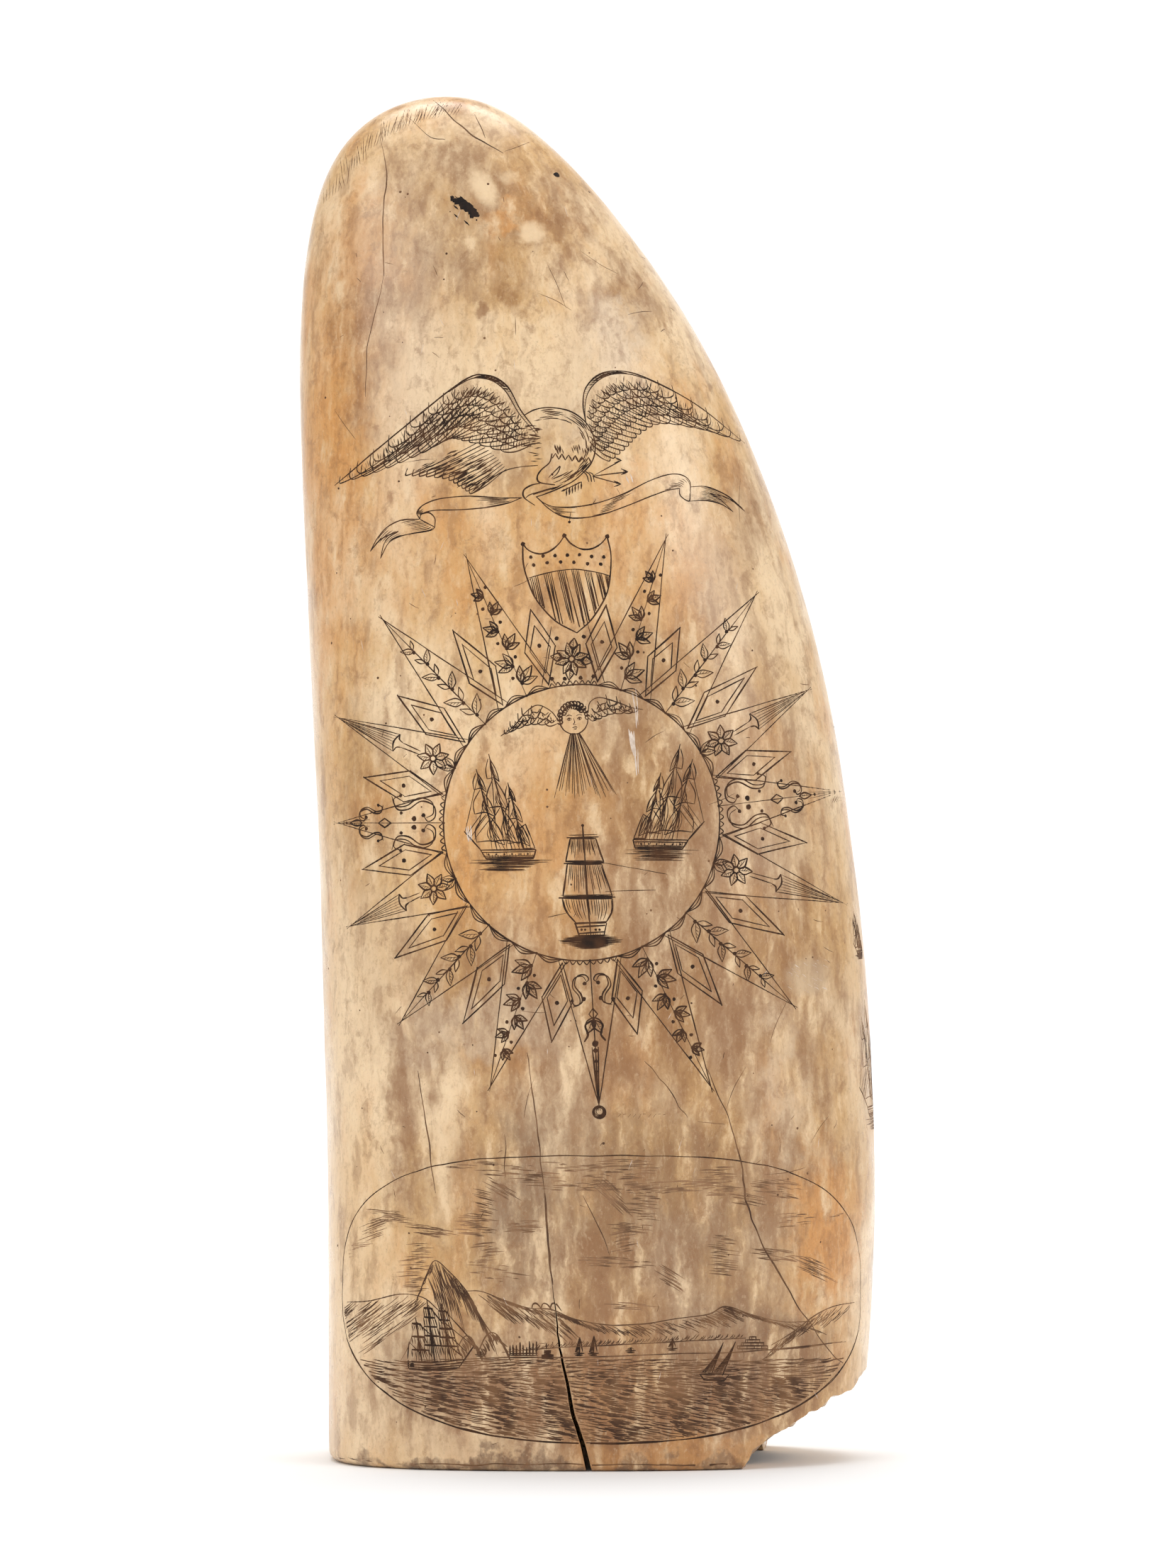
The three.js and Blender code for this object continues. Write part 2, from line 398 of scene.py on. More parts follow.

# %% Where the stains and one painted highlight sit on the front: colour, X and Z of the middle, half sizes, turn, strength
FRONT = -22
STAINS_AND_HIGHLIGHT = (
    ("lower dusk", UMBER, (16, 44), (32, 66), 0, 0.48),
    ("honey flank", HONEY, (-36, 150), (10, 34), 0, 0.85),
    ("amber low flank", AMBER, (-39, 140), (6, 18), 8, 0.6),
    ("tip cloud", UMBER, (-10, 177), (20, 11), 12, 0.75),
    ("tip left cloud", UMBER, (-27, 157), (9, 18), -6, 0.7),
    ("tip crown", UMBER, (-17, 186), (10, 4), 0, 0.5),
    ("tip facet", CREAM, (-31, 181), (9, 4.5), -38, 0.7),
    ("shoulder band", UMBER, (8, 164), (6, 27), 32, 0.8),
    ("shoulder foot", UMBER, (23, 134), (5.5, 24), 24, 0.75),
    ("tip brown left", UMBER, (-26, 177), (4.5, 6), 0, 0.6),
    ("tip brown middle", UMBER, (-15, 165), (9, 3.6), 18, 0.55),
    ("tip brown right", UMBER, (0, 176), (5, 9), 20, 0.55),
    ("tip amber", AMBER, (-12, 172.5), (3.2, 2.6), 0, 0.7),
    ("tip honey", HONEY, (-30, 168), (6, 7), 0, 0.6),
    ("brow ash", ASH, (-23, 166), (9, 9), 0, 0.4),
    # painted highlight, not a stain: a pale bone patch where a sheen of light lies along the right shoulder
    ("shoulder shine", BONE, (3, 152), (5, 14), 26, 0.6),
    ("cream field", CREAM, (-12, 152), (16, 8), 0, 0.95),
    ("wing cream", CREAM, (-26, 144), (5, 8), 0, 0.5),
    ("field honey", HONEY, (-4, 124), (24, 11), 0, 0.45),
    ("ray amber", AMBER, (6, 133), (5, 4), 0, 0.4),
    ("right cream", CREAM, (22, 122), (7, 12), 0, 0.5),
    ("shield ash", UMBER, (3, 111), (9, 6), 0, 0.45),
    ("circle cream", CREAM, (-8, 100), (9, 5), 0, 0.5),
    ("circle honey", HONEY, (-6, 86), (10, 16), 0, 0.5),
    ("circle left", AMBER, (-19, 84), (4, 12), 0, 0.4),
    ("circle dusk", UMBER, (8, 90), (9, 18), 0, 0.6),
    ("left column", UMBER, (-25, 50), (2.8, 14), 0, 0.7),
    ("left high column", UMBER, (-31, 86), (4, 20), 0, 0.45),
    ("left plain", CREAM, (-35, 44), (5.5, 38), 0, 0.95),
    ("left middle plain", CREAM, (-30, 70), (8, 9), 0, 0.5),
    ("white flames", BONE, (-14, 60), (11, 4.5), 0, 0.85),
    ("low flames", CREAM, (-20, 50), (4, 5), 0, 0.35),
    ("under rose", UMBER, (-4, 64), (24, 12), 0, 0.65),
    ("right dusk", UMBER, (23, 78), (12, 34), 0, 0.45),
    ("right flames", CREAM, (32, 84), (3, 9), -10, 0.4),
    ("right low flames", BONE, (27, 52), (3, 10), 0, 0.4),
    ("sky dusk", DUSK, (4, 36), (26, 13), 0, 0.5),
    ("crack dusk", DUSK, (-9, 36), (4, 14), 0, 0.4),
    ("sky cream", BUTTER, (-32, 34), (6, 14), 0, 0.5),
    ("ridge dusk", UMBER, (2, 27), (14, 6), 0, 0.45),
    ("harbour honey", HONEY, (34, 31), (6, 12), 0, 0.95),
    ("sea dusk", UMBER, (3, 10), (34, 10), 0, 0.9),
    ("right sea dusk", DUSK, (22, 16), (12, 8), 0, 0.6),
    ("left shore dusk", DUSK, (-20, 15), (9, 7), 0, 0.4),
    ("right corner cream", CREAM, (39, 17), (3, 10), 0, 0.9),
    ("right edge cream", CREAM, (38, 60), (2.6, 22), 0, 0.5),
    ("foot cream", CREAM, (-26, 2), (16, 5), 0, 0.5),
    ("foot honey", HONEY, (12, 1), (14, 3), 0, 0.5),
    ("foot rim", DUSK, (-8, -0.2), (38, 1.5), 0, 0.9),
    ("left edge amber", AMBER, (-37, 112), (4, 30), 0, 0.35),
)
SPOTS = (
    ("tip pale spot", CREAM, (-20.5, 183.4), (2.4, 1.0), 0, 0.75),
    ("tip pale patch", CREAM, (-14.4, 176.6), (1.9, 3.6), -24, 0.8),
    ("tip pale side", CREAM, (-11, 178), (2, 1.3), 0, 0.5),
    ("brow pale spot", CREAM, (-7.8, 170.2), (2.2, 1.8), 0, 0.75),
    ("brown freckle", UMBER, (-14.6, 159.2), (0.8, 1.4), 30, 0.7),
    ("grey patch", ASH, (30.5, 67.5), (3.4, 2.6), 0, 0.6),
)
print(f"{len(STAINS_AND_HIGHLIGHT)} stains and {len(SPOTS)} spots")

# %% Coordinates for the layers, in millimetres
ivory = Recipe("old_ivory")
place = ivory.scaled(ivory.place, (1000, 1000, 1000))


def pushed(source, size, reach):
    """The same coordinates, pushed about by a noise, so that edges run ragged."""
    away = ivory.add("VectorMath", settings={"operation": "MULTIPLY_ADD"})
    ivory.feed(away.node.inputs[0], ivory.noise(source, size, 5, 0.6, output=1))
    ivory.feed(away.node.inputs[1], reach)
    ivory.feed(away.node.inputs[2], [-0.5 * part for part in reach])
    total = ivory.add("VectorMath", settings={"operation": "ADD"})
    ivory.feed(total.node.inputs[0], source)
    ivory.feed(total.node.inputs[1], away)
    return total


def coat(base, mask, colour, strength):
    """Lays a colour over the base where the mask is white."""
    return ivory.mix(ivory.math("MULTIPLY", mask, strength), base, colour)


def stain_and_highlight_mask(source, centre, size, turn, soft):
    """White inside a turned oval on the front of the tooth, fading out at its edge."""
    node = ivory.nodes.new("ShaderNodeMapping")
    node.vector_type = "TEXTURE"
    ivory.feed(node.inputs["Vector"], source)
    node.inputs["Location"].default_value = (centre[0], FRONT, centre[1])
    node.inputs["Rotation"].default_value = (0, math.radians(turn), 0)
    node.inputs["Scale"].default_value = (size[0], 16, size[1])
    length = ivory.add("VectorMath", 1, settings={"operation": "LENGTH"})
    ivory.feed(length.node.inputs[0], node.outputs[0])
    return ivory.ramp(length, 1 + soft, 1 - soft)


drift = pushed(place, 5, (10, 10, 18))
bent = pushed(place, 4, (2.4, 2.4, 5))
grown = ivory.scaled(bent, (1, 1, 0.27))  # drawn out along the tooth
drips = ivory.noise(grown, 2.6, 5, 0.6)
streaks = ivory.noise(ivory.scaled(bent, (1, 1, 0.13)), 1.0, 5, 0.6)
fine = ivory.noise(ivory.scaled(place, (1, 1, 0.6)), 0.5, 5, 0.7)
print("stains wander by up to 9 mm along the tooth")

# %% Layer by layer, the colour of the ivory
clouds = ivory.ramp(ivory.noise(ivory.scaled(place, (1, 1, 0.5)), 11, 5, 0.6), 0.36, 0.64)
colour = ivory.mix(clouds, CREAM, BUTTER)
warm = ivory.ramp(ivory.noise(ivory.scaled(place, (1, 1, 0.4)), 7, 4, 0.6), 0.50, 0.72)
colour = coat(colour, warm, HONEY, 0.6)
broken = ivory.ramp(drips, 0.30, 0.60, 0.3, 1.0)
# each stain is laid over the colour, and so is the painted highlight on the right shoulder
for _, stain_and_highlight, centre, size, turn, strength in STAINS_AND_HIGHLIGHT:
    mask = ivory.math("MULTIPLY", stain_and_highlight_mask(drift, centre, size, turn, 0.45), broken)
    colour = coat(colour, mask, stain_and_highlight, strength)
mottle = ivory.ramp(ivory.noise(ivory.scaled(bent, (1, 1, 0.8)), 2.4, 6, 0.75), 0.50, 0.68)
colour = coat(colour, mottle, UMBER, 0.46)
colour = coat(colour, ivory.ramp(drips, 0.51, 0.66), UMBER, 0.40)
colour = coat(colour, ivory.ramp(drips, 0.45, 0.30), CREAM, 0.50)
colour = coat(colour, ivory.ramp(streaks, 0.52, 0.72), UMBER, 0.26)
colour = coat(colour, ivory.ramp(streaks, 0.47, 0.30), CREAM, 0.22)
colour = coat(colour, ivory.ramp(fine, 0.50, 0.70), UMBER, 0.25)
colour = coat(colour, ivory.ramp(fine, 0.46, 0.30), CREAM, 0.22)
pores = ivory.noise(place, 0.45, 2, 0.5)
colour = coat(colour, ivory.ramp(pores, 0.66, 0.76), DUSK, 0.26)
wander = pushed(place, 1.1, (1.6, 1.6, 1.6))
for _, spot_colour, centre, size, turn, strength in SPOTS:
    colour = coat(colour, stain_and_highlight_mask(wander, centre, size, turn, 0.3), spot_colour, strength)
ivory.feed(ivory.shader.inputs["Base Color"], colour)
print(f"the ivory has {len(ivory.nodes)} nodes so far")

# %% Gloss, softness and the faint relief of the grain
gloss = ivory.ramp(ivory.noise(place, 6, 5, 0.6), 0.3, 0.7, 0.24, 0.40)
ivory.feed(ivory.shader.inputs["Roughness"], gloss)
ivory.shader.inputs["Coat Weight"].default_value = 0.25
ivory.shader.inputs["Coat Roughness"].default_value = 0.22
ivory.shader.inputs["Subsurface Weight"].default_value = 0.08
ivory.shader.inputs["Subsurface Radius"].default_value = (1.0, 0.6, 0.35)
ivory.shader.inputs["Subsurface Scale"].default_value = 0.002
relief = ivory.add("Bump", Strength=0.25, Distance=0.00006, Height=ivory.math("ADD", fine, streaks))
ivory.feed(ivory.shader.inputs["Normal"], relief)
tooth.data.materials.clear()
tooth.data.materials.append(ivory.material)
print(f"the ivory has {len(ivory.nodes)} nodes")

# %% [markdown]
# ## Cutting the picture
# The picture is needle-cut line by line, and lampblack fills the cuts. Real grooves a tenth of a
# millimetre wide would need millions of faces, and a painted texture would blur. So each stroke is
# its own slip of ink: a strip with a low ridge, laid along the ivory and sunk into it at its edges.
# A pen holds a figure's strokes. It draws on a flat picture plane, in millimetres, and carries each
# point along the line of sight until it meets the tooth, so that the picture reads true from in front.

# %% Inks, and the widths of a cut
def ink(name, dark, pale, size):
    recipe = Recipe(name)
    spread = recipe.noise(recipe.scaled(recipe.place, (1000, 1000, 1000)), size, 3)
    recipe.feed(recipe.shader.inputs["Base Color"], recipe.mix(recipe.ramp(spread, 0.35, 0.7), dark, pale))
    recipe.shader.inputs["Roughness"].default_value = 0.7
    recipe.shader.inputs["Specular IOR Level"].default_value = 0.2
    return recipe.material


LAMPBLACK = ink("lampblack", paint(38, 24, 15), paint(78, 50, 30), 2.5)
WORN_INK = ink("worn_ink", paint(70, 48, 34), paint(124, 90, 62), 3.5)
FAINT_INK = ink("faint_ink", paint(96, 70, 50), paint(146, 110, 80), 3.5)
HAIR, FINE, CLEAR, BOLD = 0.14, 0.20, 0.27, 0.38  # widths of a cut, in millimetres
hand = random.Random(1846)  # the unsteadiness of the hand, the same each time
noise.seed_set(1846)  # vector noise takes its seed from the clock otherwise
surface = BVHTree.FromObject(tooth, bpy.context.evaluated_depsgraph_get())
print("the finest cut is", HAIR, "mm wide")

# %% The pen
EYE_AWAY = 1080  # where the picture reads true from
EYE_HEIGHT = 94
STEP = 0.8  # length of one piece of a stroke
PROUD = 0.018  # how high the ridge of a stroke stands
SUNK = 0.004  # how deep its edges lie
DOT_DEPTH = 12 * SUNK


def spaced(points, step):
    """The same path with a point at least every step."""
    path = [Vector(points[0])]
    for start, end in zip(points, points[1:]):
        start, end = Vector(start), Vector(end)
        parts = max(1, math.ceil((end - start).length / step))
        path += [start.lerp(end, part / parts) for part in range(1, parts + 1)]
    return path


class Pen:
    """Cuts one figure into the side of the tooth that is seen from the angle seen_from."""

    def __init__(self, name, inkwell=LAMPBLACK, seen_from=0):
        self.name, self.inkwell = name, inkwell
        turn = Matrix.Rotation(math.radians(seen_from), 3, "Z")
        self.right = turn @ Vector((1, 0, 0))
        self.eye = turn @ Vector((0, -EYE_AWAY, EYE_HEIGHT))
        self.points, self.faces, self.strokes = [], [], 0
        self.step, self.window = STEP, None
        self.at()

    def at(self, x=0, z=0, turn=0, size=1, mirror=False):
        """Later strokes start from here, turned and sized."""
        self.origin = Vector((x, z))
        self.turn = Matrix.Rotation(math.radians(turn), 2)
        self.size, self.flip = size, -1 if mirror else 1
        return self

    def find(self, point):
        """Where the line of sight through a point of the picture meets the tooth."""
        x, z = self.origin + self.turn @ Vector((point[0] * self.flip, point[1])) * self.size
        sight = (self.right * x + Vector((0, 0, z)) - self.eye).normalized()
        place, normal, _, _ = surface.ray_cast(self.eye * MM, sight)
        if place is None or normal.dot(sight) > -0.04 or normal.z < -0.35:
            return None
        return place / MM, normal

    def line(self, points, width=FINE, sharp=0.45, waver=0.04):
        """A stroke through the points, thinned to the share sharp at both ends."""
        path = spaced(points, self.step / self.size)
        run, seed = [], hand.uniform(0, 99)
        for index, point in enumerate(path):
            share = index / max(1, len(path) - 1)
            wave = noise.noise_vector((seed, index * STEP / 4, 0))
            found = self.find(point + Vector((wave.x, wave.y)) * waver)
            if found is None or not self.shows(point):
                self.lay(run)
                run = []
                continue
            swell = sharp + (1 - sharp) * math.sin(math.pi * share) ** 0.5
            run.append((*found, width * swell * (1 + 0.5 * wave.z)))
        self.lay(run)

    def shows(self, point):
        """Whether a point lies inside the pen's window, an outline that strokes stop at."""
        if self.window is None:
            return True
        crossings = 0
        for (x0, z0), (x1, z1) in zip(self.window, self.window[1:] + self.window[:1]):
            straddles = (z0 > point[1]) != (z1 > point[1])
            if straddles and point[0] < x0 + (x1 - x0) * (point[1] - z0) / (z1 - z0):
                crossings += 1
        return crossings % 2 == 1

    def curve(self, points, width=FINE, sharp=0.45, waver=0.03):
        self.line(through(points), width, sharp, waver)

    def lay(self, run):
        """Lays one closed strip along places on the tooth."""
        if len(run) < 2:
            return
        first = len(self.points)
        for index, (place, normal, width) in enumerate(run):
            before, after = run[max(0, index - 1)][0], run[min(len(run) - 1, index + 1)][0]
            side = normal.cross(after - before).normalized() * width / 2
            low_place = place - normal * SUNK
            self.points += [low_place - side, low_place + side, place + normal * PROUD]
        for index in range(len(run) - 1):
            here, there = first + 3 * index, first + 3 * (index + 1)
            for edge in range(3):
                other = (edge + 1) % 3
                self.faces.append((here + edge, there + edge, there + other, here + other))
        last = first + 3 * (len(run) - 1)
        self.faces += [(first, first + 1, first + 2), (last + 2, last + 1, last)]
        self.strokes += 1

    def dot(self, centre, radius=0.3, sides=9):
        """A round pit full of ink."""
        found = self.find(centre)
        if found is None:
            return
        place, normal = found
        flat = normal.orthogonal().normalized()
        first = len(self.points)
        for side in range(sides):
            spoke = Matrix.Rotation(side * math.tau / sides, 3, normal) @ flat
            reach = radius * self.size * hand.uniform(0.85, 1.12)
            self.points.append(place + spoke * reach - normal * SUNK)
        self.points += [place + normal * 2 * PROUD, place - normal * DOT_DEPTH]
        for side in range(sides):
            here, there = first + side, first + (side + 1) % sides
            self.faces += [(here, there, first + sides), (there, here, first + sides + 1)]
        self.strokes += 1

    def piece(self):
        """Makes the strokes one piece that goes with the tooth."""
        mesh = bpy.data.meshes.new(self.name)
        mesh.from_pydata([point * MM for point in self.points], [], self.faces)
        made = bpy.data.objects.new(self.name, mesh)
        bpy.context.scene.collection.objects.link(made)
        deselect_all()
        made.select_set(True)
        bpy.context.view_layer.objects.active = made
        bpy.ops.object.mode_set(mode="EDIT")
        bpy.ops.mesh.select_all(action="SELECT")
        bpy.ops.mesh.normals_make_consistent(inside=False)
        bpy.ops.object.mode_set(mode="OBJECT")
        mesh.materials.append(self.inkwell)
        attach(made, "root")
        print(f"{self.name}: {self.strokes} strokes, {len(self.faces)} faces")


# %% Curves, and the small marks that many figures share
def heading(angle):
    """The direction at this angle, in degrees, in the picture."""
    return Vector((math.cos(math.radians(angle)), math.sin(math.radians(angle))))


def through(points, parts=6):
    """A smooth curve through every point."""
    points = [Vector(point) for point in points]
    ends = [2 * points[0] - points[1], *points, 2 * points[-1] - points[-2]]
    path = []
    for a, b, c, d in zip(ends, ends[1:], ends[2:], ends[3:]):
        for part in range(parts):
            t = part / parts
            path.append(0.5 * (2 * b + (c - a) * t + (2 * a - 5 * b + 4 * c - d) * t**2
                               + (3 * b - a - 3 * c + d) * t**3))
    return [*path, points[-1]]


def arc(centre, radius, start, end, tall=1.0, parts=14):
    """Points round an arc, from the angle start to the angle end, in degrees."""
    path = []
    for part in range(parts + 1):
        way = heading(start + (end - start) * part / parts)
        path.append((centre[0] + radius * way.x, centre[1] + radius * tall * way.y))
    return path


def spot(path, share):
    return Vector(along([tuple(point) for point in path], min(1, max(0, share))))


def across(first, second, u, v):
    """The point at the share u along two edges, and at the share v of the way from one to the other."""
    return spot(first, u).lerp(spot(second, u), v)


def shade(pen, first, second, count, reach=(0.0, 1.0), width=HAIR, uneven=0.1, ends=(0, 1)):
    """Strokes that run from the first edge towards the second, evenly spread along both."""
    for stroke in range(count):
        share = (stroke + 0.5 + hand.uniform(-0.3, 0.3)) / count
        share = ends[0] + (ends[1] - ends[0]) * share
        start = across(first, second, share, reach[0] + hand.uniform(0, uneven))
        end = across(first, second, share, reach[1] - hand.uniform(0, uneven))
        pen.line([start, end], width, sharp=0.2)


def leaf(pen, root, angle, length, plump=0.24, width=FINE, vein=True):
    """Two edges that meet at the tip, a vein, and hatching on one side."""
    root, way = Vector(root), heading(angle)
    side = Vector((-way.y, way.x)) * length * plump
    tip = root + way * length
    for edge in (side, -side):
        pen.curve([root, root + way * length * 0.42 + edge, tip], width, sharp=0.5)
    if vein:
        pen.line([root, root + way * length * 0.75], HAIR)
        for share in (0.25, 0.4, 0.55, 0.7):
            start = root + way * length * share
            pen.line([start, start + way * length * 0.12 + side * (1 - share)], FINE)


SCROLL_SHAPE = (  # shares of its length along and across
    (0.28, 0.12), (0.16, 0.0), (0.02, 0.12), (0.08, 0.36), (0.36, 0.42),
    (0.62, 0.22), (0.86, 0.2), (0.96, 0.4), (0.82, 0.5),
)


def scroll(pen, start, angle, length, side, width=CLEAR):
    """An S with a curl and a ball at both ends, drawn double."""
    turn = Matrix.Rotation(math.radians(angle), 2)
    path = [Vector(start) + turn @ Vector((u * length, v * length * side)) for u, v in SCROLL_SHAPE]
    pen.curve(path, width, sharp=0.5)
    pen.curve([point + turn @ Vector((0.05, 0.07 * side)) * length for point in path[1:-1]], FINE)
    pen.dot(path[0], 0.32)
    pen.dot(path[-1], 0.26)


print("an arc of", len(arc((0, 0), 1, 0, 90)), "points")

# %% [markdown]
# ## The rayed sun
# A circle is the heart of the picture. Sixteen long rays spring from it, each filled with a sprig, a
# rose spray, a flower or scrollwork, and between them stand sixteen short double-edged points. It is
# laid out as its maker did it: with a compass and a straight edge first, and the fillings freehand.
# Each ray is drawn lying along +X and then turned into its place.

# %% Sizes of the rayed sun
SUN_CENTRE = (-0.9, 88.6)
SUN_RADIUS = 19.3
SUN_TURN = 93.5  # the north ray leans a little to the left
RAY_SQUEEZE = 3.4  # the rays crowd this many degrees towards the north
RAY_FOOT = 4.4  # half the width of a long ray at the circle
SHORT_TIP = 31.6
SHORT_WAIST = (24.9, 2.2)  # how far out a short point is widest, and half that width
SHORT_INSET = 0.75
RAYS = (  # what fills each ray, and how far it reaches, from the north round to the left
    ("rosette", 33), ("rose", 40.2), ("sprig", 39.7), ("trumpet", 37),
    ("scrolls", 34.1), ("trumpet", 35.4), ("sprig", 37.5), ("rose", 39),
    ("drop", 39.6), ("rose", 41.1), ("sprig", 39), ("trumpet", 38.2),
    ("scrolls", 36.5), ("trumpet", 36.6), ("sprig", 39.9), ("rose", 41.3),
)


def ray_angle(position):
    """The direction of ray number position. Halves are the short points between."""
    away = math.radians(360 * position / len(RAYS))
    squeeze = RAY_SQUEEZE * math.sin(away) * (1 + math.cos(away))
    return SUN_TURN + math.degrees(away) - squeeze


def face_along(pen, position):
    return pen.at(*SUN_CENTRE, turn=ray_angle(position))


print("the east ray points", round(ray_angle(12) - 360, 1), "degrees above level")

# %% The circle and its scalloped border
def on_circle(angle, radius=SUN_RADIUS):
    return heading(angle) * radius


def scallops(pen, start, end, small):
    """Four small scallops, or a large double one, from the angle start to the angle end."""
    count, bulge, lifts = (4, 0.55, (1,)) if small else (1, 0.75, (1, 0.45))
    for index in range(count):
        a = start + (end - start) * index / count
        b = start + (end - start) * (index + 1) / count
        for lift in lifts:
            crest = on_circle((a + b) / 2, SUN_RADIUS + bulge * lift)
            pen.curve([on_circle(a), crest, on_circle(b)], FINE, sharp=0.6)


border = Pen("sun_circle")
border.at(*SUN_CENTRE)
border.line([on_circle(angle) for angle in range(0, 361, 3)], CLEAR, sharp=0.8)
for position in range(len(RAYS)):
    here, half, after = (ray_angle(position + part) for part in (0, 0.5, 1))
    scallops(border, here, half, small=position % 4 == 0)
    scallops(border, half, after, small=(position + 1) % 4 == 0)
    border.dot(on_circle(here), 0.22)
border.piece()

# %% Long rays and short points
def long_ray(pen, reach):
    for side in (-1, 1):
        foot = Vector((SUN_RADIUS * 0.985, side * RAY_FOOT))
        tip = Vector((reach, 0))
        pen.line([foot, foot.lerp(tip, 1.035)], FINE, sharp=0.6)


def short_point(pen, tip):
    """Two outlines, one inside the other, and a dot in the middle."""
    waist, half = SHORT_WAIST
    for inset, width in ((0, CLEAR), (SHORT_INSET, FINE)):
        corners = ((SUN_RADIUS + 0.5 + 2.2 * inset, 0), (waist, half - inset),
                   (tip - 3.1 * inset, 0), (waist, inset - half))
        for start, end in zip(corners, (*corners[1:], corners[0])):
            pen.line([start, Vector(end) + (Vector(end) - Vector(start)) * 0.02], width, sharp=0.7)
    pen.dot((waist + 0.5, 0), 0.33)


rays = Pen("sun_rays")
for position, (_, reach) in enumerate(RAYS):
    if position:
        long_ray(face_along(rays, position), reach)
    else:
        for side in (-1, 1):  # the north ray runs in behind the shield
            foot, tip = Vector((SUN_RADIUS, side * RAY_FOOT)), Vector((39, 0))
            face_along(rays, 0).line([foot, foot.lerp(tip, 0.42)], FINE)
    short_point(face_along(rays, position + 0.5), SHORT_TIP + hand.uniform(-1.2, 1.2))
rays.piece()

# %% The fillings: laurel sprigs and rose sprays
def sprig(pen, reach):
    stem_end = 20.5 + (reach - 20.5) * 0.8
    pen.line([(SUN_RADIUS, 0), (reach, 0)], HAIR, sharp=0.8)
    pen.line([(SUN_RADIUS, 0), (stem_end, 0)], FINE)
    joints = 6
    for joint in range(joints):
        u = 21 + (stem_end - 21) * joint / joints
        side = 1 if joint % 2 else -1
        length = 3.1 - 0.22 * joint
        pen.dot((u, 0.12 * side), 0.32)
        leaf(pen, (u, 0), 46 * side, length, 0.2, FINE)
        leaf(pen, (u + 0.3, 0), -30 * side, length * 0.72, 0.17, FINE, vein=False)


def rose(pen, reach):
    """Clusters of three plump petals and dark buds, smaller towards the tip."""
    stem_end = 20.5 + (reach - 20.5) * 0.84
    pen.line([(SUN_RADIUS, 0), (reach, 0)], HAIR, sharp=0.8)
    clusters = 6
    for cluster in range(clusters):
        u = 21.2 + (stem_end - 21.2) * cluster / clusters
        side = 1 if cluster % 2 else -1
        length = 3.0 - 0.24 * cluster
        for spread in (-36, 0, 36):
            leaf(pen, (u, 0), side * 54 + spread, length * (1 if spread == 0 else 0.85), 0.2, CLEAR)
        pen.dot((u, 0.15 * side), 0.32)
        pen.dot((u + 1.1, -0.75 * side), 0.28)


print("a sprig has leaves up to 3.1 mm long")

# %% The fillings: flower with a cone, scrollwork, rosette and the long drop
def flower(pen, u, petals, radius, width=CLEAR):
    for petal in range(petals):
        angle = 360 * petal / petals + 12
        leaf(pen, Vector((u, 0)) + 0.3 * heading(angle), angle, radius, 0.26, width)
    pen.line([(u + x, z) for x, z in arc((0, 0), 0.42, 0, 360)], CLEAR)


def trumpet(pen, reach):
    """A flower at the foot, and a ribbed cone whose point runs out to the tip."""
    mouth = SUN_RADIUS + (reach - SUN_RADIUS) * 0.5
    flower(pen, 22.6, 7, 2.0)
    leaf(pen, (SUN_RADIUS, 0), 24, 2.2, 0.2)
    leaf(pen, (SUN_RADIUS, 0), -24, 2.2, 0.2)
    for side in (-1, 1):
        pen.line([(24.6, 0.25 * side), (mouth - 0.8, 0.35 * side)], FINE)
        pen.curve([(mouth - 0.8, 0.35 * side), (mouth - 0.2, 0.6 * side), (mouth, 1.3 * side)], CLEAR)
        pen.line([(mouth, 1.25 * side), (reach, 0)], FINE)
    pen.curve([(mouth, -1.3), (mouth + 0.45, 0), (mouth, 1.3)], CLEAR)
    for rib in range(-2, 3):
        pen.line([(mouth + 0.3, rib * 0.42), (reach - 2.5 + abs(rib), 0.02 * rib)], HAIR)


def scrolls(pen, reach):
    pen.line([(SUN_RADIUS, 0), (reach, 0)], HAIR, sharp=0.8)
    for side in (-1, 1):
        scroll(pen, (20.4, 0.1 * side), 6 * side, 6.4, side)
        scroll(pen, (31.0, 0.2 * side), 180 - 10 * side, 3.6, -side)
        pen.dot((23.4, 0.6 * side), 0.42)
        pen.dot((25.2, 1.4 * side), 0.28)
    diamond = ((26.6, 0), (27.5, 0.65), (28.4, 0), (27.5, -0.65), (26.6, 0))
    pen.line(diamond, CLEAR, sharp=0.9)
    leaf(pen, (30.6, 0), 0, 1.8, 0.24, CLEAR)
    pen.dot((32.8, 0), 0.26)
    for side in (-1, 1):
        pen.line([(reach - 0.2, 0), (reach - 4.5, 0.45 * side)], HAIR)


ROSETTE = 22.9  # how far out the middle of the north rosette lies


def rosette(pen, reach):
    """Eight petals with four plumper ones between, and dots in the corners. The shield hides the rest."""
    flower(pen, ROSETTE, 8, 2.1)
    for petal in range(4):
        angle = 90 * petal + 79
        leaf(pen, Vector((ROSETTE, 0)) + 1.2 * heading(angle), angle, 1.8, 0.3, CLEAR)
    for u, out in ((20.3, 2.9), (25.9, 1.9), (20.2, 1.1)):
        for side in (-1, 1):
            pen.dot((u, out * side), 0.32)


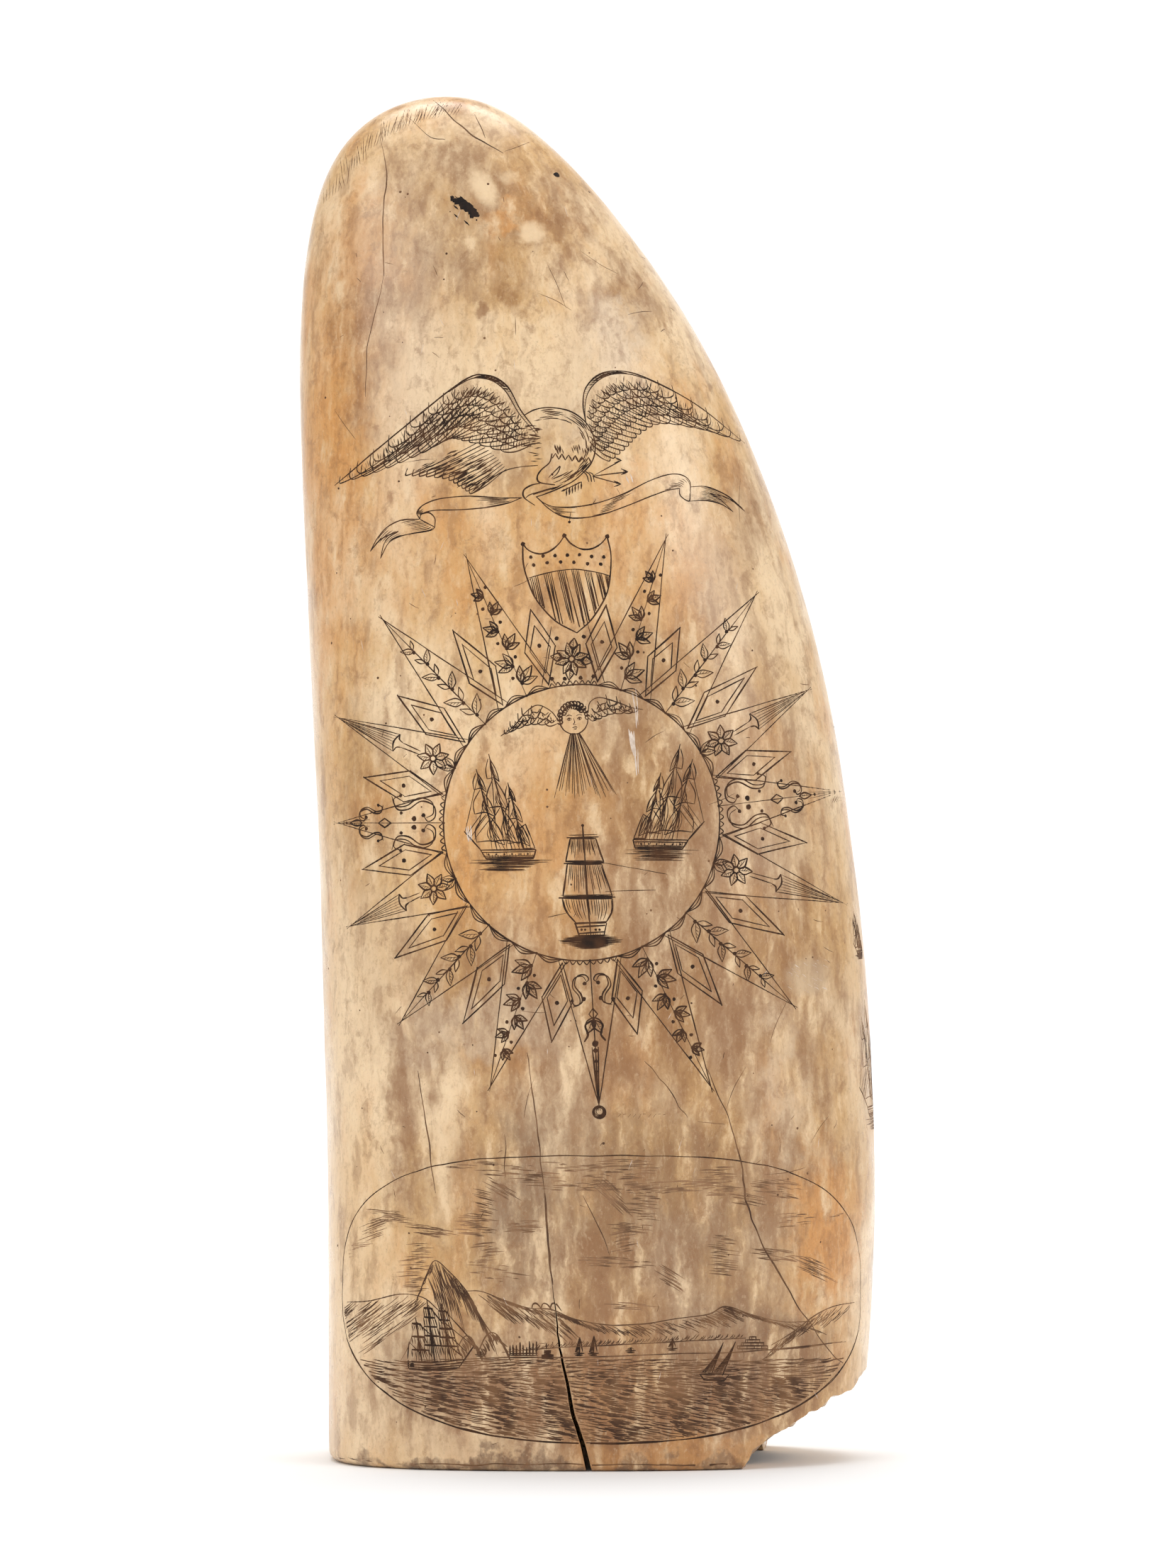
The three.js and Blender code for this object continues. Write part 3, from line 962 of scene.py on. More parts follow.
def drop(pen, reach):
    """Scrolls and a tulip, and a long drop that ends in a scribbled ball beyond the tip."""
    pen.line([(SUN_RADIUS, 0), (reach, 0)], FINE, sharp=0.8)
    for side in (-1, 1):
        scroll(pen, (21.2, 0.3 * side), 4 * side, 4.6, side)
        pen.dot((24.6, 1.2 * side), 0.36)
        pen.curve([(27.6, 0.1 * side), (28.3, 1.2 * side), (29.6, 0.9 * side), (30.6, 1.5 * side)], BOLD)
        pen.line([(31.4, 0.45 * side), (reach, 0)], CLEAR)
        leaf(pen, (27.2, 0), 24 * side, 2.6, 0.26, CLEAR)
    pen.line([(26.0, 0), (26.8, 0.6), (27.6, 0), (26.8, -0.6), (26.0, 0)], CLEAR, sharp=0.9)
    for u, radius in ((30.9, 0.5), (31.9, 0.38), (33.4, 0.26), (34.8, 0.2)):
        pen.dot((u, 0), radius)
    for turn in range(9):
        centre = (reach + 0.9 + hand.uniform(-0.15, 0.15), hand.uniform(-0.15, 0.15))
        pen.line(arc(centre, hand.uniform(0.35, 0.95), 40 * turn, 40 * turn + 300), FINE)


FILLINGS = {filling.__name__: filling for filling in (sprig, rose, trumpet, scrolls, rosette, drop)}
fillings = Pen("sun_fillings")
for position, (filling, reach) in enumerate(RAYS):
    FILLINGS[filling](face_along(fillings, position), reach)
fillings.piece()

# %% [markdown]
# ## The shield, the eagle and the ribbon
# A wing is two edges, one in front and one behind, and rows of feathers between them. Every feather
# is one edge that curls round its end, and a few barbs. One function makes every wing, from the
# eagle's down to the cherub's.

# %% The shield
SHIELD_TOP = ((-9.1, 127.5), (-3.3, 128.7), (2.7, 128.6))
SHIELD_POINT = (-1.6, 115.1)
STRIPES = 7
STRIPE_CUTS = 5
STRIPE_LEAN = (1.9, -8.0)

shield = Pen("shield")
LEFT_SIDE = (SHIELD_TOP[0], (-9.05, 124.9), (-8.5, 122.7), (-7.2, 119.7), (-4.6, 116.8), SHIELD_POINT)
RIGHT_SIDE = (SHIELD_TOP[2], (3.2, 126), (3.1, 123.1), (2.5, 120.3), (0.5, 117), SHIELD_POINT)
left_side, right_side = through(LEFT_SIDE), through(RIGHT_SIDE)
for side in (left_side, right_side):
    shield.line(side, CLEAR, sharp=0.7)
for start, end in zip(SHIELD_TOP, SHIELD_TOP[1:]):
    sweep_down = [Vector(start).lerp(Vector(end), part / 8) for part in range(9)]
    dip = [Vector((0, -1.9 * math.sin(math.pi * part / 8) ** 0.75)) for part in range(9)]
    shield.curve([point + low for point, low in zip(sweep_down, dip)], CLEAR, sharp=0.7)
for ball in SHIELD_TOP:
    shield.dot(ball, 0.36)
chief = through(((-8.5, 122.7), (-5.2, 123.6), (-1.9, 124), (1.1, 123.6), (3.1, 123.1)))
shield.line(chief, FINE)
for row, (count, first, gap, height) in enumerate(((7, -8.0, 1.7, 125.5), (6, -7.6, 1.88, 124.5))):
    for star in range(count):
        rise = 0.5 * math.sin(math.pi * (star + 0.5) / count)
        shield.dot((first + gap * star, height + rise + hand.uniform(-0.15, 0.15)), 0.29)
shield.step = 0.4
shield.window = [*(tuple(point) for point in left_side), *(tuple(point) for point in reversed(right_side))]
for stripe in range(STRIPES):
    for cut in range(STRIPE_CUTS):
        share = (stripe + 0.22 + 0.13 * cut) / (STRIPES - 0.1)
        top = spot(chief, share)
        lean = Vector(STRIPE_LEAN) + Vector((hand.uniform(-0.2, 0.2), 0))
        shield.line([top, top + lean * hand.uniform(0.85, 1.3)], FINE)
shield.window = None
shield.dot((-2.6, 130.6), 0.22)
shield.line([(-2.6, 130.6), (-2.4, 132)], HAIR)
shield.piece()

# %% Feathers and wings
def feather(pen, heel, tip, plump, inner, barbs, lean, width=FINE):
    """One edge of a feather and its rounded end. inner is +1 or -1, the side its barbs are on."""
    heel, tip = Vector(heel), Vector(tip)
    way = (tip - heel).normalized()
    side = Vector((-way.y, way.x)) * plump * inner
    round_end = [tip - way * plump * 0.22, tip + side * 0.42 + way * plump * 0.06,
                 tip + side * 0.95 - way * plump * 0.42]
    pen.curve([heel, heel.lerp(tip, 0.55) - side * 0.22, *round_end], width, sharp=0.6)
    for barb in range(barbs):
        root = heel.lerp(tip, (barb + 0.7) / (barbs + 0.2)) + side * hand.uniform(0.0, 0.25)
        barb_long = min(0.9, 0.75 * plump) * hand.uniform(0.6, 1)
        way_out = (side.normalized() + Vector(lean)).normalized() * barb_long
        pen.line([root, root + way_out], min(width, FINE), sharp=0.3)


def wing(pen, leading, trailing, inner, rows, lean, width=FINE):
    """Rows of feathers between two edges. A row says how far across its heels and tips lie, how many
    feathers it has, where it starts and stops along the wing, how far they reach, and their barbs."""
    for heel_row, tip_row, count, start, stop, reach, barbs in rows:
        for index in range(count):
            u = start + (stop - start) * index / count
            after = start + (stop - start) * (index + 1) / count
            tip = across(leading, trailing, min(1, u + reach), tip_row)
            plump = (across(leading, trailing, min(1, after + reach), tip_row) - tip).length
            heel = across(leading, trailing, u, heel_row)
            if (tip - heel).length > 0.8:
                feather(pen, heel, tip, min(1.9, max(0.5, plump)), inner, barbs, lean, width)


def edge_between(path, start, stop, parts=24):
    return [spot(path, start + (stop - start) * part / parts) for part in range(parts + 1)]


print("a feather is an edge of 5 points and its barbs")

# %% The eagle's wings and tail
eagle_wings = Pen("eagle_wings")
EAGLE_WINGS = (  # the leading edge, the trailing edge, the side the barbs are on, and how they lean
    (((-7.0, 143.1), (-9.4, 146.2), (-11.3, 149.6), (-14.2, 151.1), (-17.8, 150.1), (-27.1, 142.7),
      (-35.4, 135.7)),
     ((-8.5, 140.1), (-11.9, 140.3), (-17, 141.8), (-19.5, 142.1), (-23.8, 139.8), (-29.6, 137.4),
      (-35.4, 135.7)), -1, (0.3, 0.55)),
    (((-0.3, 144.4), (-0.7, 147), (-0.3, 149.4), (1.6, 151.2), (4.6, 151.7), (8.4, 150.6), (15, 147.1),
      (21.9, 141.6)),
     ((0.6, 138.8), (2.8, 139), (5.2, 140.8), (7.2, 142.8), (10.4, 144.2), (16.5, 143.3),
      (21.9, 141.6)), 1, (-0.35, 0.4)),
)
EAGLE_FEATHERS = (  # one row a line, as wing() reads them
    (0.18, 0.34, 13, 0.08, 0.74, 0.07, 4),
    (0.28, 0.48, 14, 0.06, 0.77, 0.09, 5),
    (0.40, 0.64, 15, 0.04, 0.79, 0.11, 6),
    (0.50, 0.82, 16, 0.02, 0.81, 0.14, 8),
    (0.60, 1.00, 18, 0.00, 0.85, 0.17, 11),
)
for front, back, inner, lean in EAGLE_WINGS:
    front, back = through(front), through(back)
    eagle_wings.line(front, CLEAR, sharp=0.6)
    band = [across(front, back, u / 30, 0.1 * (1 - u / 30)) for u in range(22)]
    eagle_wings.line(band, FINE)
    bone = edge_between(front, 0, 0.6)
    shade(eagle_wings, bone, band, 46, (0.05, 1), FINE, ends=(0.03, 0.9))
    covert = [across(front, back, u / 30, 0.17) for u in range(5, 18)]
    under = [across(front, back, u / 30 + 0.01, 0.33) for u in range(5, 18)]
    shade(eagle_wings, covert, under, 46, (0, 1), FINE, uneven=0.6)
    wing(eagle_wings, front, back, inner, EAGLE_FEATHERS, lean)
TAIL_TIPS = through(((-25.2, 137.1), (-22.6, 136.9), (-19.6, 136.5), (-17.8, 135.5), (-16.3, 134.5)))
TAIL_ROOTS = through(((-15.4, 141.7), (-13.6, 140.4), (-12.4, 139.2), (-11.4, 138)))
TAIL_FEATHERS = 12
for index in range(TAIL_FEATHERS):
    share = index / (TAIL_FEATHERS - 1)
    heel, tip = spot(TAIL_ROOTS, share), spot(TAIL_TIPS, share)
    feather(eagle_wings, heel, tip, 0.95, -1, 0, (0, 0))
    for dark, near in ((7, 0.72), (4, 0.35)):
        for stroke in range(dark):
            start = heel.lerp(tip, near + hand.uniform(-0.16, 0.12)) + Vector((0, hand.uniform(-0.1, 0.45)))
            end = start + (tip - heel).normalized() * hand.uniform(0.7, 1.5)
            eagle_wings.line([start, end], FINE, sharp=0.3)
eagle_wings.curve([(-7, 138.5), (-9.5, 138.3), (-11.5, 137.8), (-13.4, 136.7), (-16.3, 134.5)], FINE)
eagle_wings.piece()

# %% The eagle's body, head and claws
eagle_body = Pen("eagle_body")
BREAST_MIDDLE = Vector((-4.2, 141.2))
back_line = through((
    (-9, 145.5), (-7.4, 146.3), (-5.2, 146.6), (-2.6, 146.1), (-0.5, 144.7), (0.7, 142.8), (1.0, 140.8),
    (0.6, 139.1), (-0.3, 137.9), (-1.8, 136.5), (-3.8, 135.4), (-6, 134.5), (-7.3, 134.1)))
face_line = through((
    (-5, 140.2), (-5.4, 138.9), (-6.6, 137.8), (-7.1, 136.9), (-6.7, 136.1), (-4.6, 135.8)))
eagle_body.line(back_line, CLEAR, sharp=0.6)
eagle_body.line(face_line, CLEAR, sharp=0.6)
for depth in range(1, 7):  # broken lines inside the back, which round it
    inward = [point.lerp(BREAST_MIDDLE, 0.045 * depth + hand.uniform(0, 0.02)) for point in back_line]
    for start in (0.1, 0.26, 0.42, 0.58, 0.74):
        begin = start + hand.uniform(-0.06, 0.08)
        eagle_body.line(edge_between(inward, begin, begin + hand.uniform(0.06, 0.13), 6), FINE, sharp=0.25)
for stroke in range(30):  # the breast's down, fanning from the wing's root
    angle = math.radians(hand.uniform(-26, 34))
    start = Vector((-9.5 + hand.uniform(0, 2.2), 141.6 + hand.uniform(-2.7, 3.2)))
    end = start + Vector((math.cos(angle), -math.sin(angle) * 0.5)) * hand.uniform(0.8, 2)
    eagle_body.line([start, end], FINE, sharp=0.25)
ruff = [(-5 + 0.46 * jag, 139.9 - 0.06 * jag + (0.35 if jag % 2 else -0.4)) for jag in range(13)]
eagle_body.line(ruff, CLEAR, sharp=0.8)
for stroke in range(26):
    start = Vector((hand.uniform(-4.6, 0.5), 140.1 + hand.uniform(-0.1, 0.6)))
    eagle_body.line([start, start + Vector((-0.2, 0.8))], FINE, sharp=0.3)
eagle_body.curve([(-5.5, 136.8), (-4.9, 137.4), (-3.9, 138.4), (-4.3, 137.4), (-5.1, 136.7)], FINE)
eagle_body.dot((-5, 137.25), 0.2)
eagle_body.curve([(-6.7, 136), (-8, 135.7), (-9, 135), (-8.9, 134), (-7.4, 132.9)], CLEAR)
eagle_body.curve([(-7.7, 134.4), (-6.4, 134.9), (-4.3, 135.5)], CLEAR)
eagle_body.curve([(-8.7, 134), (-7.9, 134.5), (-5.5, 135.2)], FINE)
for stroke in range(10):
    start = Vector((-3.4 + 0.32 * stroke, 136 + 0.24 * stroke))
    eagle_body.line([start, start + Vector((1.1, 1.0))], FINE, sharp=0.2)
for claw in range(3):
    root = (-0.9 + 0.5 * claw, 137.8 - 0.1 * claw)
    eagle_body.curve([root, (-0.2 + 0.45 * claw, 137.2), (0.1 + 0.4 * claw, 136.2)], FINE)
for height, end in ((138.9, (4.7, 139.2)), (137.4, (5.6, 137.6)), (136.6, (4.6, 135.9))):
    eagle_body.line([(0.6, 137.0), end], FINE)
    for barb in ((-1.0, 0.45), (-1.0, -0.35), (-0.7, 0.1)):
        eagle_body.line([end, Vector(end) + Vector(barb)], CLEAR, sharp=0.4)
for index in range(6):
    root = Vector((-0.9 - 0.42 * index, 136.2 - 0.2 * index))
    eagle_body.line([root, root + Vector((-0.05, -1.0))], CLEAR, sharp=0.4)
    eagle_body.line([root, root + Vector((-0.75, -0.3))], CLEAR, sharp=0.4)
eagle_body.piece()

# %% The ribbon in the beak
ribbon = Pen("ribbon")
LEFT_UPPER = ((-9.2, 134), (-12.3, 134), (-16.4, 134.2), (-20.4, 133.9), (-22.8, 133.1), (-23.9, 132),
              (-23.5, 131))
LEFT_LOWER = ((-9.2, 134), (-11.3, 133.2), (-14.3, 132.6), (-18.4, 132.3), (-21.6, 132.2),
              (-23.2, 131.7), (-23.5, 131))
LEFT_FOLD = ((-23.2, 131.7), (-22.2, 131.9), (-21.4, 131.1), (-21.4, 129.9))
LEFT_TAIL_UPPER = ((-23.6, 131), (-25.9, 130.9), (-27.9, 130), (-29.3, 128.5), (-30.4, 126.5))
LEFT_TAIL_LOWER = ((-21.4, 129.9), (-22, 129.4), (-24.5, 129), (-26.5, 128.5), (-27.9, 127.6), (-29, 125.5))
RIGHT_UPPER = ((-7.2, 134.1), (-6.1, 133.2), (-4.4, 132.7), (-1.1, 132.8), (2.1, 133.5), (5.3, 134.7),
               (8.5, 136.3), (11.1, 137.2), (13, 137.2), (14.2, 136.3), (14.3, 134.7))
RIGHT_LOWER = ((-7.2, 134.1), (-5.4, 132.4), (-3.3, 131.3), (-0.5, 131.2), (2.1, 131.7), (5.3, 132.8),
               (8.5, 134.1), (11.1, 135), (12.8, 135.3))
RIGHT_FOLD = ((12.8, 135.3), (12.9, 134.3), (14.1, 133.5), (14.3, 134.7))
RIGHT_TAIL_UPPER = ((14.3, 135.5), (16.7, 135.5), (19.3, 134.4), (21, 133), (21.9, 132.1))
RIGHT_TAIL_LOWER = ((14.1, 133.5), (16.5, 133.6), (18.6, 133.1), (20.3, 132))
FOLD_ENDS = (  # the edge inside the left fold, and the forked ends
    ((-23.5, 131), (-22.4, 130.4), (-21.4, 129.9)), ((-30.4, 126.5), (-28.9, 128.2), (-26.5, 129.3)),
    ((-29, 125.5), (-28.3, 127.9), (-26.5, 129.3)), ((21.9, 132.1), (19.6, 133.9), (17, 134.6)),
    ((20.3, 132), (18.6, 133.6), (17, 134.6)),
)
for edge in (LEFT_UPPER, LEFT_LOWER, LEFT_FOLD, LEFT_TAIL_UPPER, LEFT_TAIL_LOWER, RIGHT_UPPER,
             RIGHT_LOWER, RIGHT_FOLD, RIGHT_TAIL_UPPER, RIGHT_TAIL_LOWER, *FOLD_ENDS):
    ribbon.curve(edge, FINE, sharp=0.6)


def ribbon_shade(upper, lower, start, stop, count):
    """Strokes that run along a ribbon, between its two edges, where it folds away."""
    upper, lower = through(upper), through(lower)
    for stroke in range(count):
        v = (stroke + 0.5) / count
        begin, end = start + hand.uniform(0, 0.07), stop - hand.uniform(0, 0.07)
        stations = [begin + (end - begin) * part / 5 for part in range(6)]
        ribbon.line([across(upper, lower, u, v) for u in stations], HAIR, sharp=0.25)


for upper, lower, darks in (  # each dark: where it starts and stops along the ribbon, and its strokes
    (LEFT_UPPER, LEFT_LOWER, ((0.1, 0.34, 7), (0.72, 0.92, 7))),
    (LEFT_TAIL_UPPER, LEFT_TAIL_LOWER, ((0.0, 0.36, 10), (0.5, 0.85, 7))),
    (RIGHT_UPPER, RIGHT_LOWER, ((0.12, 0.3, 7), (0.42, 0.56, 9), (0.8, 0.95, 10))),
    (RIGHT_TAIL_UPPER, RIGHT_TAIL_LOWER, ((0.14, 0.7, 10),)),
):
    for start, stop, count in darks:
        ribbon_shade(upper, lower, start, stop, count)
ribbon.piece()

# %% [markdown]
# ## Inside the circle
# A winged child's head blows a fan of wind over three ships. The face is calm and full, laid out on
# the plain proportions of a drawing book: eyes halfway down the head, the nose a little short of
# halfway from the eyes to the chin, and the mouth about a quarter of the way below the nose.

# %% The cherub and the wind
HEAD = (-2.0, 103.1)
HEAD_RADIUS = 2.0

cherub = Pen("cherub")
cherub.step = 0.3
cherub.at(*HEAD, turn=4)
cherub.line(arc((0, 0), HEAD_RADIUS, 150, 400, tall=1.08, parts=30), FINE, sharp=0.8)
for side in (-1, 1):
    eye = (0.72 * side + 0.1, 0.0)
    cherub.curve([(eye[0] - 0.34, -0.04), (eye[0], 0.17), (eye[0] + 0.34, -0.02)], FINE)
    cherub.curve([(eye[0] - 0.26, -0.12), (eye[0], -0.18), (eye[0] + 0.26, -0.1)], HAIR)
    cherub.dot(eye, 0.12)
    cherub.curve([(eye[0] - 0.42, 0.4), (eye[0], 0.56), (eye[0] + 0.42, 0.42)], HAIR)
cherub.curve([(-0.02, 0.1), (0.1, -0.5), (-0.12, -0.78), (0.3, -0.86)], HAIR)
cherub.curve([(-0.26, -1.22), (0.1, -1.14), (0.45, -1.2)], FINE)
cherub.curve([(-0.1, -1.38), (0.12, -1.44), (0.34, -1.36)], HAIR)
curls = 15
for curl in range(curls):
    angle = math.radians(2 + 186 * curl / (curls - 1))
    for ring, radius in ((0.98, 0.34), (0.76, 0.3)):
        centre = (HEAD_RADIUS * ring * math.cos(angle), HEAD_RADIUS * ring * 1.1 * math.sin(angle))
        if ring > 0.9 or math.sin(angle) > 0.5:
            cherub.line(arc(centre, radius, 40 * curl, 40 * curl + 290, parts=8), CLEAR, sharp=0.6)
cherub.at()
CHERUB_WINGS = (  # the leading edge, the trailing edge, and the side the barbs are on
    (((-4.2, 102.9), (-5.2, 104.2), (-7.1, 105), (-8.7, 104), (-10.4, 102), (-12.2, 100.7)),
     ((-4.3, 102), (-6.5, 102.2), (-8.5, 102.1), (-10.8, 101.2), (-12.2, 100.7)), -1),
    (((0, 103.9), (0.3, 105.4), (1.6, 106.1), (4.1, 105.4), (6, 104.7), (7.7, 104.4)),
     ((0.1, 102.6), (1.4, 102.9), (3.3, 103.6), (6, 103.8), (7.7, 104.4)), 1),
)
CHERUB_FEATHERS = (
    (0.15, 0.4, 4, 0.1, 0.6, 0.08, 0),
    (0.3, 0.7, 5, 0.05, 0.75, 0.12, 1),
    (0.5, 1.0, 7, 0.0, 0.8, 0.18, 2),
)
for front, back, inner in CHERUB_WINGS:
    front, back = through(front), through(back)
    cherub.line(front, FINE, sharp=0.6)
    wing(cherub, front, back, inner, CHERUB_FEATHERS, (0, 0.2), FINE)
cherub.piece()

wind = Pen("wind")
GUSTS = (  # X at the mouth and far down, how broad the gust is at each, how many strokes
    (-2.5, -4.8, 0.75, 5.2, 15),
    (-1.6, 0.9, 0.5, 3.3, 9),
)
for start, end, spread_start, spread_end, count in GUSTS:
    for breath in range(count):
        share = (breath + hand.uniform(0.2, 0.8)) / count
        foot = (end + spread_end * share, 92.2 + hand.uniform(-0.4, 1.4))
        wind.line([(start + spread_start * share, 101.1), foot], HAIR, sharp=0.5)
wind.piece()

# %% Ships under sail
def sail(pen, corners, cuts, width=FINE, belly=0.0):
    """A sail between four corners, from the upper left round to the right, shaded from its head."""
    head_left, head_right, foot_right, foot_left = (Vector(corner) for corner in corners)
    left_leech = through((head_left, head_left.lerp(foot_left, 0.5) + Vector((-belly, 0)), foot_left))
    right_leech = through((head_right, head_right.lerp(foot_right, 0.5) + Vector((belly, 0)), foot_right))
    for edge in (left_leech, right_leech, [head_left, head_right], [foot_left, foot_right]):
        pen.line(edge, width, sharp=0.6)
    for cut in range(cuts):
        share = (cut + hand.uniform(0.3, 0.7)) / cuts
        long = hand.uniform(0.35, 0.98)
        path = [across(left_leech, right_leech, long * part / 4, share) for part in range(5)]
        pen.line(path, HAIR, sharp=0.3)


def billow(pen, head, base, broad):
    """A full sail that swells to the left of its mast, from its head down to its base."""
    left = base + Vector((-0.95 * broad, 0.5))
    right = base + Vector((0.42 * broad, 0.15))
    swell = head.lerp(left, 0.5) + Vector((-0.3 * broad, -0.1))
    pen.curve([head + Vector((-0.25, 0)), swell, left], FINE, sharp=0.5)
    pen.curve([head, head.lerp(right, 0.5) + Vector((0.16 * broad, 0)), right], FINE, sharp=0.5)
    pen.curve([left, left.lerp(right, 0.5) + Vector((0.1, 0.35)), right], FINE, sharp=0.5)
    for fold in range(4):
        share = 0.5 + 0.13 * fold
        low = left.lerp(right, share) + Vector((0, 0.3))
        start = head.lerp(low, hand.uniform(0.0, 0.5))
        pen.curve([start, start.lerp(low, 0.5) + Vector((-0.12 * broad, 0)), low], HAIR, sharp=0.3)


def hull(pen, bow, stern, draught, ports):
    """A hull from bow to stern, with a row of gun ports, on dark water."""
    bow, stern = Vector(bow), Vector(stern)
    aft = 1 if stern.x > bow.x else -1
    keel_bow, keel_stern = bow + Vector((0.8 * aft, -draught)), stern + Vector((-0.3 * aft, -draught))
    for start, end in ((bow, stern), (stern, keel_stern), (keel_stern, keel_bow), (keel_bow, bow)):
        pen.line([start, end], CLEAR, sharp=0.8)
    for rail, width in ((0.25, FINE), (0.68, FINE), (0.85, CLEAR)):
        pen.line([bow.lerp(keel_bow, rail), stern.lerp(keel_stern, rail)], width, sharp=0.7)
    for port in range(ports):
        pen.dot(bow.lerp(stern, (port + 1) / (ports + 1)) + Vector((0, -draught * 0.48)), 0.17, 6)
    for plank in range(3 * ports):
        top = bow.lerp(stern, (plank + 1) / (3 * ports + 1))
        top += Vector((0, -draught * hand.uniform(0.2, 0.6)))
        pen.line([top, top + Vector((0.05, -0.4))], FINE, sharp=0.5)
    for stroke in range(12):
        height = bow.y - draught - 0.15 - 0.13 * stroke
        middle = (bow.x + stern.x) / 2 + hand.uniform(-1.0, 1.0)
        half = abs(stern.x - bow.x) * hand.uniform(0.42, 0.72) * (1.05 - 0.04 * stroke)
        end = (middle + half, height + hand.uniform(-0.08, 0.08))
        pen.line([(middle - half, height), end], FINE if stroke % 3 else HAIR, sharp=0.2)


SIDE_MASTS = (((-1.5, 1.3), (-4.4, 12.6), 1), ((0.6, 1.3), (-2.7, 14.7), 1), ((2.3, 1.2), (0, 10.7), 0.8))
SIDE_SAILS = ((0.05, 0.44, 2.9), (0.4, 0.74, 2.1), (0.7, 0.95, 1.25))  # low and high up the mast, breadth


def ship_from_the_side(pen):
    """Close-hauled, with its bow to the left and its masts raked forward."""
    hull(pen, (-3.8, 1.25), (3.9, 1.35), 1.25, 6)
    pen.line([(-3.7, 1.2), (-6.1, 3.9)], CLEAR)
    for foot, top, share in SIDE_MASTS:
        foot, top = Vector(foot), Vector(top)
        pen.line([foot, top], CLEAR, sharp=0.5)
        for low, high, broad in SIDE_SAILS:
            billow(pen, foot.lerp(top, high), foot.lerp(top, low), broad * share)
        for shroud in (-0.7, 0.5, 1.1):
            pen.line([foot + Vector((shroud, 0)), foot.lerp(top, 0.4)], HAIR)
        pen.line([foot.lerp(top, 0.92), (-6.0, 3.7) if top.x < -4 else foot + Vector((-2.2, 2.5))], HAIR)
        pen.line([foot.lerp(top, 0.62), foot + Vector((-2.6, 3.2))], HAIR)
    sail(pen, ((1.3, 4.1), (2.5, 4.9), (3.8, 1.5), (2.1, 1.5)), 5)
    for jib in (0.2, 0.55, 0.85):
        pen.line([(-6.0 + 1.5 * jib, 3.7 - 1.2 * jib), (-3.3 + 1.2 * jib, 7.6 - 2 * jib)], HAIR)


ASTERN_SAILS = (  # left, right and height of each sail's head, and of its foot
    ((-2.5, 1.1, 13.7), (-3.1, 2.2, 10.4)),
    ((-2.9, 1.9, 10.1), (-3.5, 3.4, 5.6)),
    ((-3.6, 3.4, 5.3), (-1.7, 2.5, 1.9)),
)


def ship_from_astern(pen):
    """Running before the wind, with square sails on one mast in line with the others."""
    for top, foot in ASTERN_SAILS:
        corners = ((top[0], top[2]), (top[1], top[2]), (foot[1], foot[2]), (foot[0], foot[2]))
        sail(pen, corners, 20, CLEAR, belly=0.0 if foot[0] < top[0] else 0.45)
        pen.line([(top[0] - 0.5, top[2] + 0.1), (top[1] + 0.4, top[2] + 0.2)], CLEAR, sharp=0.7)
        pen.line([(top[0] - 0.2, top[2] + 0.45), (top[1] + 0.2, top[2] + 0.5)], FINE)
    pen.line([(-0.75, 15.4), (-0.4, 10.4), (-0.1, 5.6), (0.4, 0)], CLEAR, sharp=0.6)
    pen.line([(-0.1, 5.2), (0.15, 2.2)], FINE)
    pen.dot((-0.75, 15.5), 0.24)
    for height, left, right in ((1.9, -1.9, 2.6), (1.4, -1.6, 2.4), (0.5, -1.4, 2.3), (0, -1.1, 2.2)):
        pen.line([(left, height - 0.1), (right, height + 0.15)], CLEAR, sharp=0.8)
    for side in ((-1.8, -1.2), (2.6, 2.2)):
        pen.line([(side[0], 1.9), (side[1], 0)], CLEAR, sharp=0.8)
    for light in (-0.9, -0.4, 1.1, 1.6):
        pen.dot((light, 0.95), 0.2)
    for cut in range(14):
        pen.line([(-1.2 + 0.25 * cut, 0.45), (-1.2 + 0.25 * cut, 0.05)], FINE)
    for stroke in range(15):
        height = 0.1 - 0.13 * stroke
        half = 5.6 * (1 - abs(stroke - 6) / 12) * hand.uniform(0.75, 1)
        pen.line([(0.4 - half, height), (0.4 + half, height + 0.1)], FINE, sharp=0.2)


fleet = Pen("circle_ships")
fleet.step = 0.5
ship_from_the_side(fleet.at(-11.2, 83.5))
ship_from_the_side(fleet.at(10.2, 84.9, mirror=True))
ship_from_astern(fleet.at(0, 72.7))
fleet.at()
for start, end in (((2.2, 83), (11, 81.4)), ((2.4, 79), (9.5, 79.2)), ((-5.6, 75.4), (-3, 76))):
    fleet.line([start, end], HAIR)
fleet.piece()

# %% [markdown]
# ## The harbour view
# A stretched oval near the root frames a harbour: hills, a steep peak, a fort, moored boats and a
# three-master, over a sea of dense wavy cuts. The oval is a window for the pen, so every wave and
# cloud stops at its edge. Sky and sea are rows of short strokes; where the tone should darken, more
# strokes are cut.

# %% The oval frame
OVAL_CENTRE = (1.9, 22.0)
OVAL_HALF = (36.2, 20.05)
OVAL_SQUARE = (3.4, 2.4)  # how square its upper and lower half are


def oval_edge(angle, share=1.0):
    square = OVAL_SQUARE[0] if math.sin(angle) > 0 else OVAL_SQUARE[1]
    x = math.copysign(abs(math.cos(angle)) ** (2 / square), math.cos(angle))
    z = math.copysign(abs(math.sin(angle)) ** (2 / square), math.sin(angle))
    return (OVAL_CENTRE[0] + OVAL_HALF[0] * share * x, OVAL_CENTRE[1] + OVAL_HALF[1] * share * z)


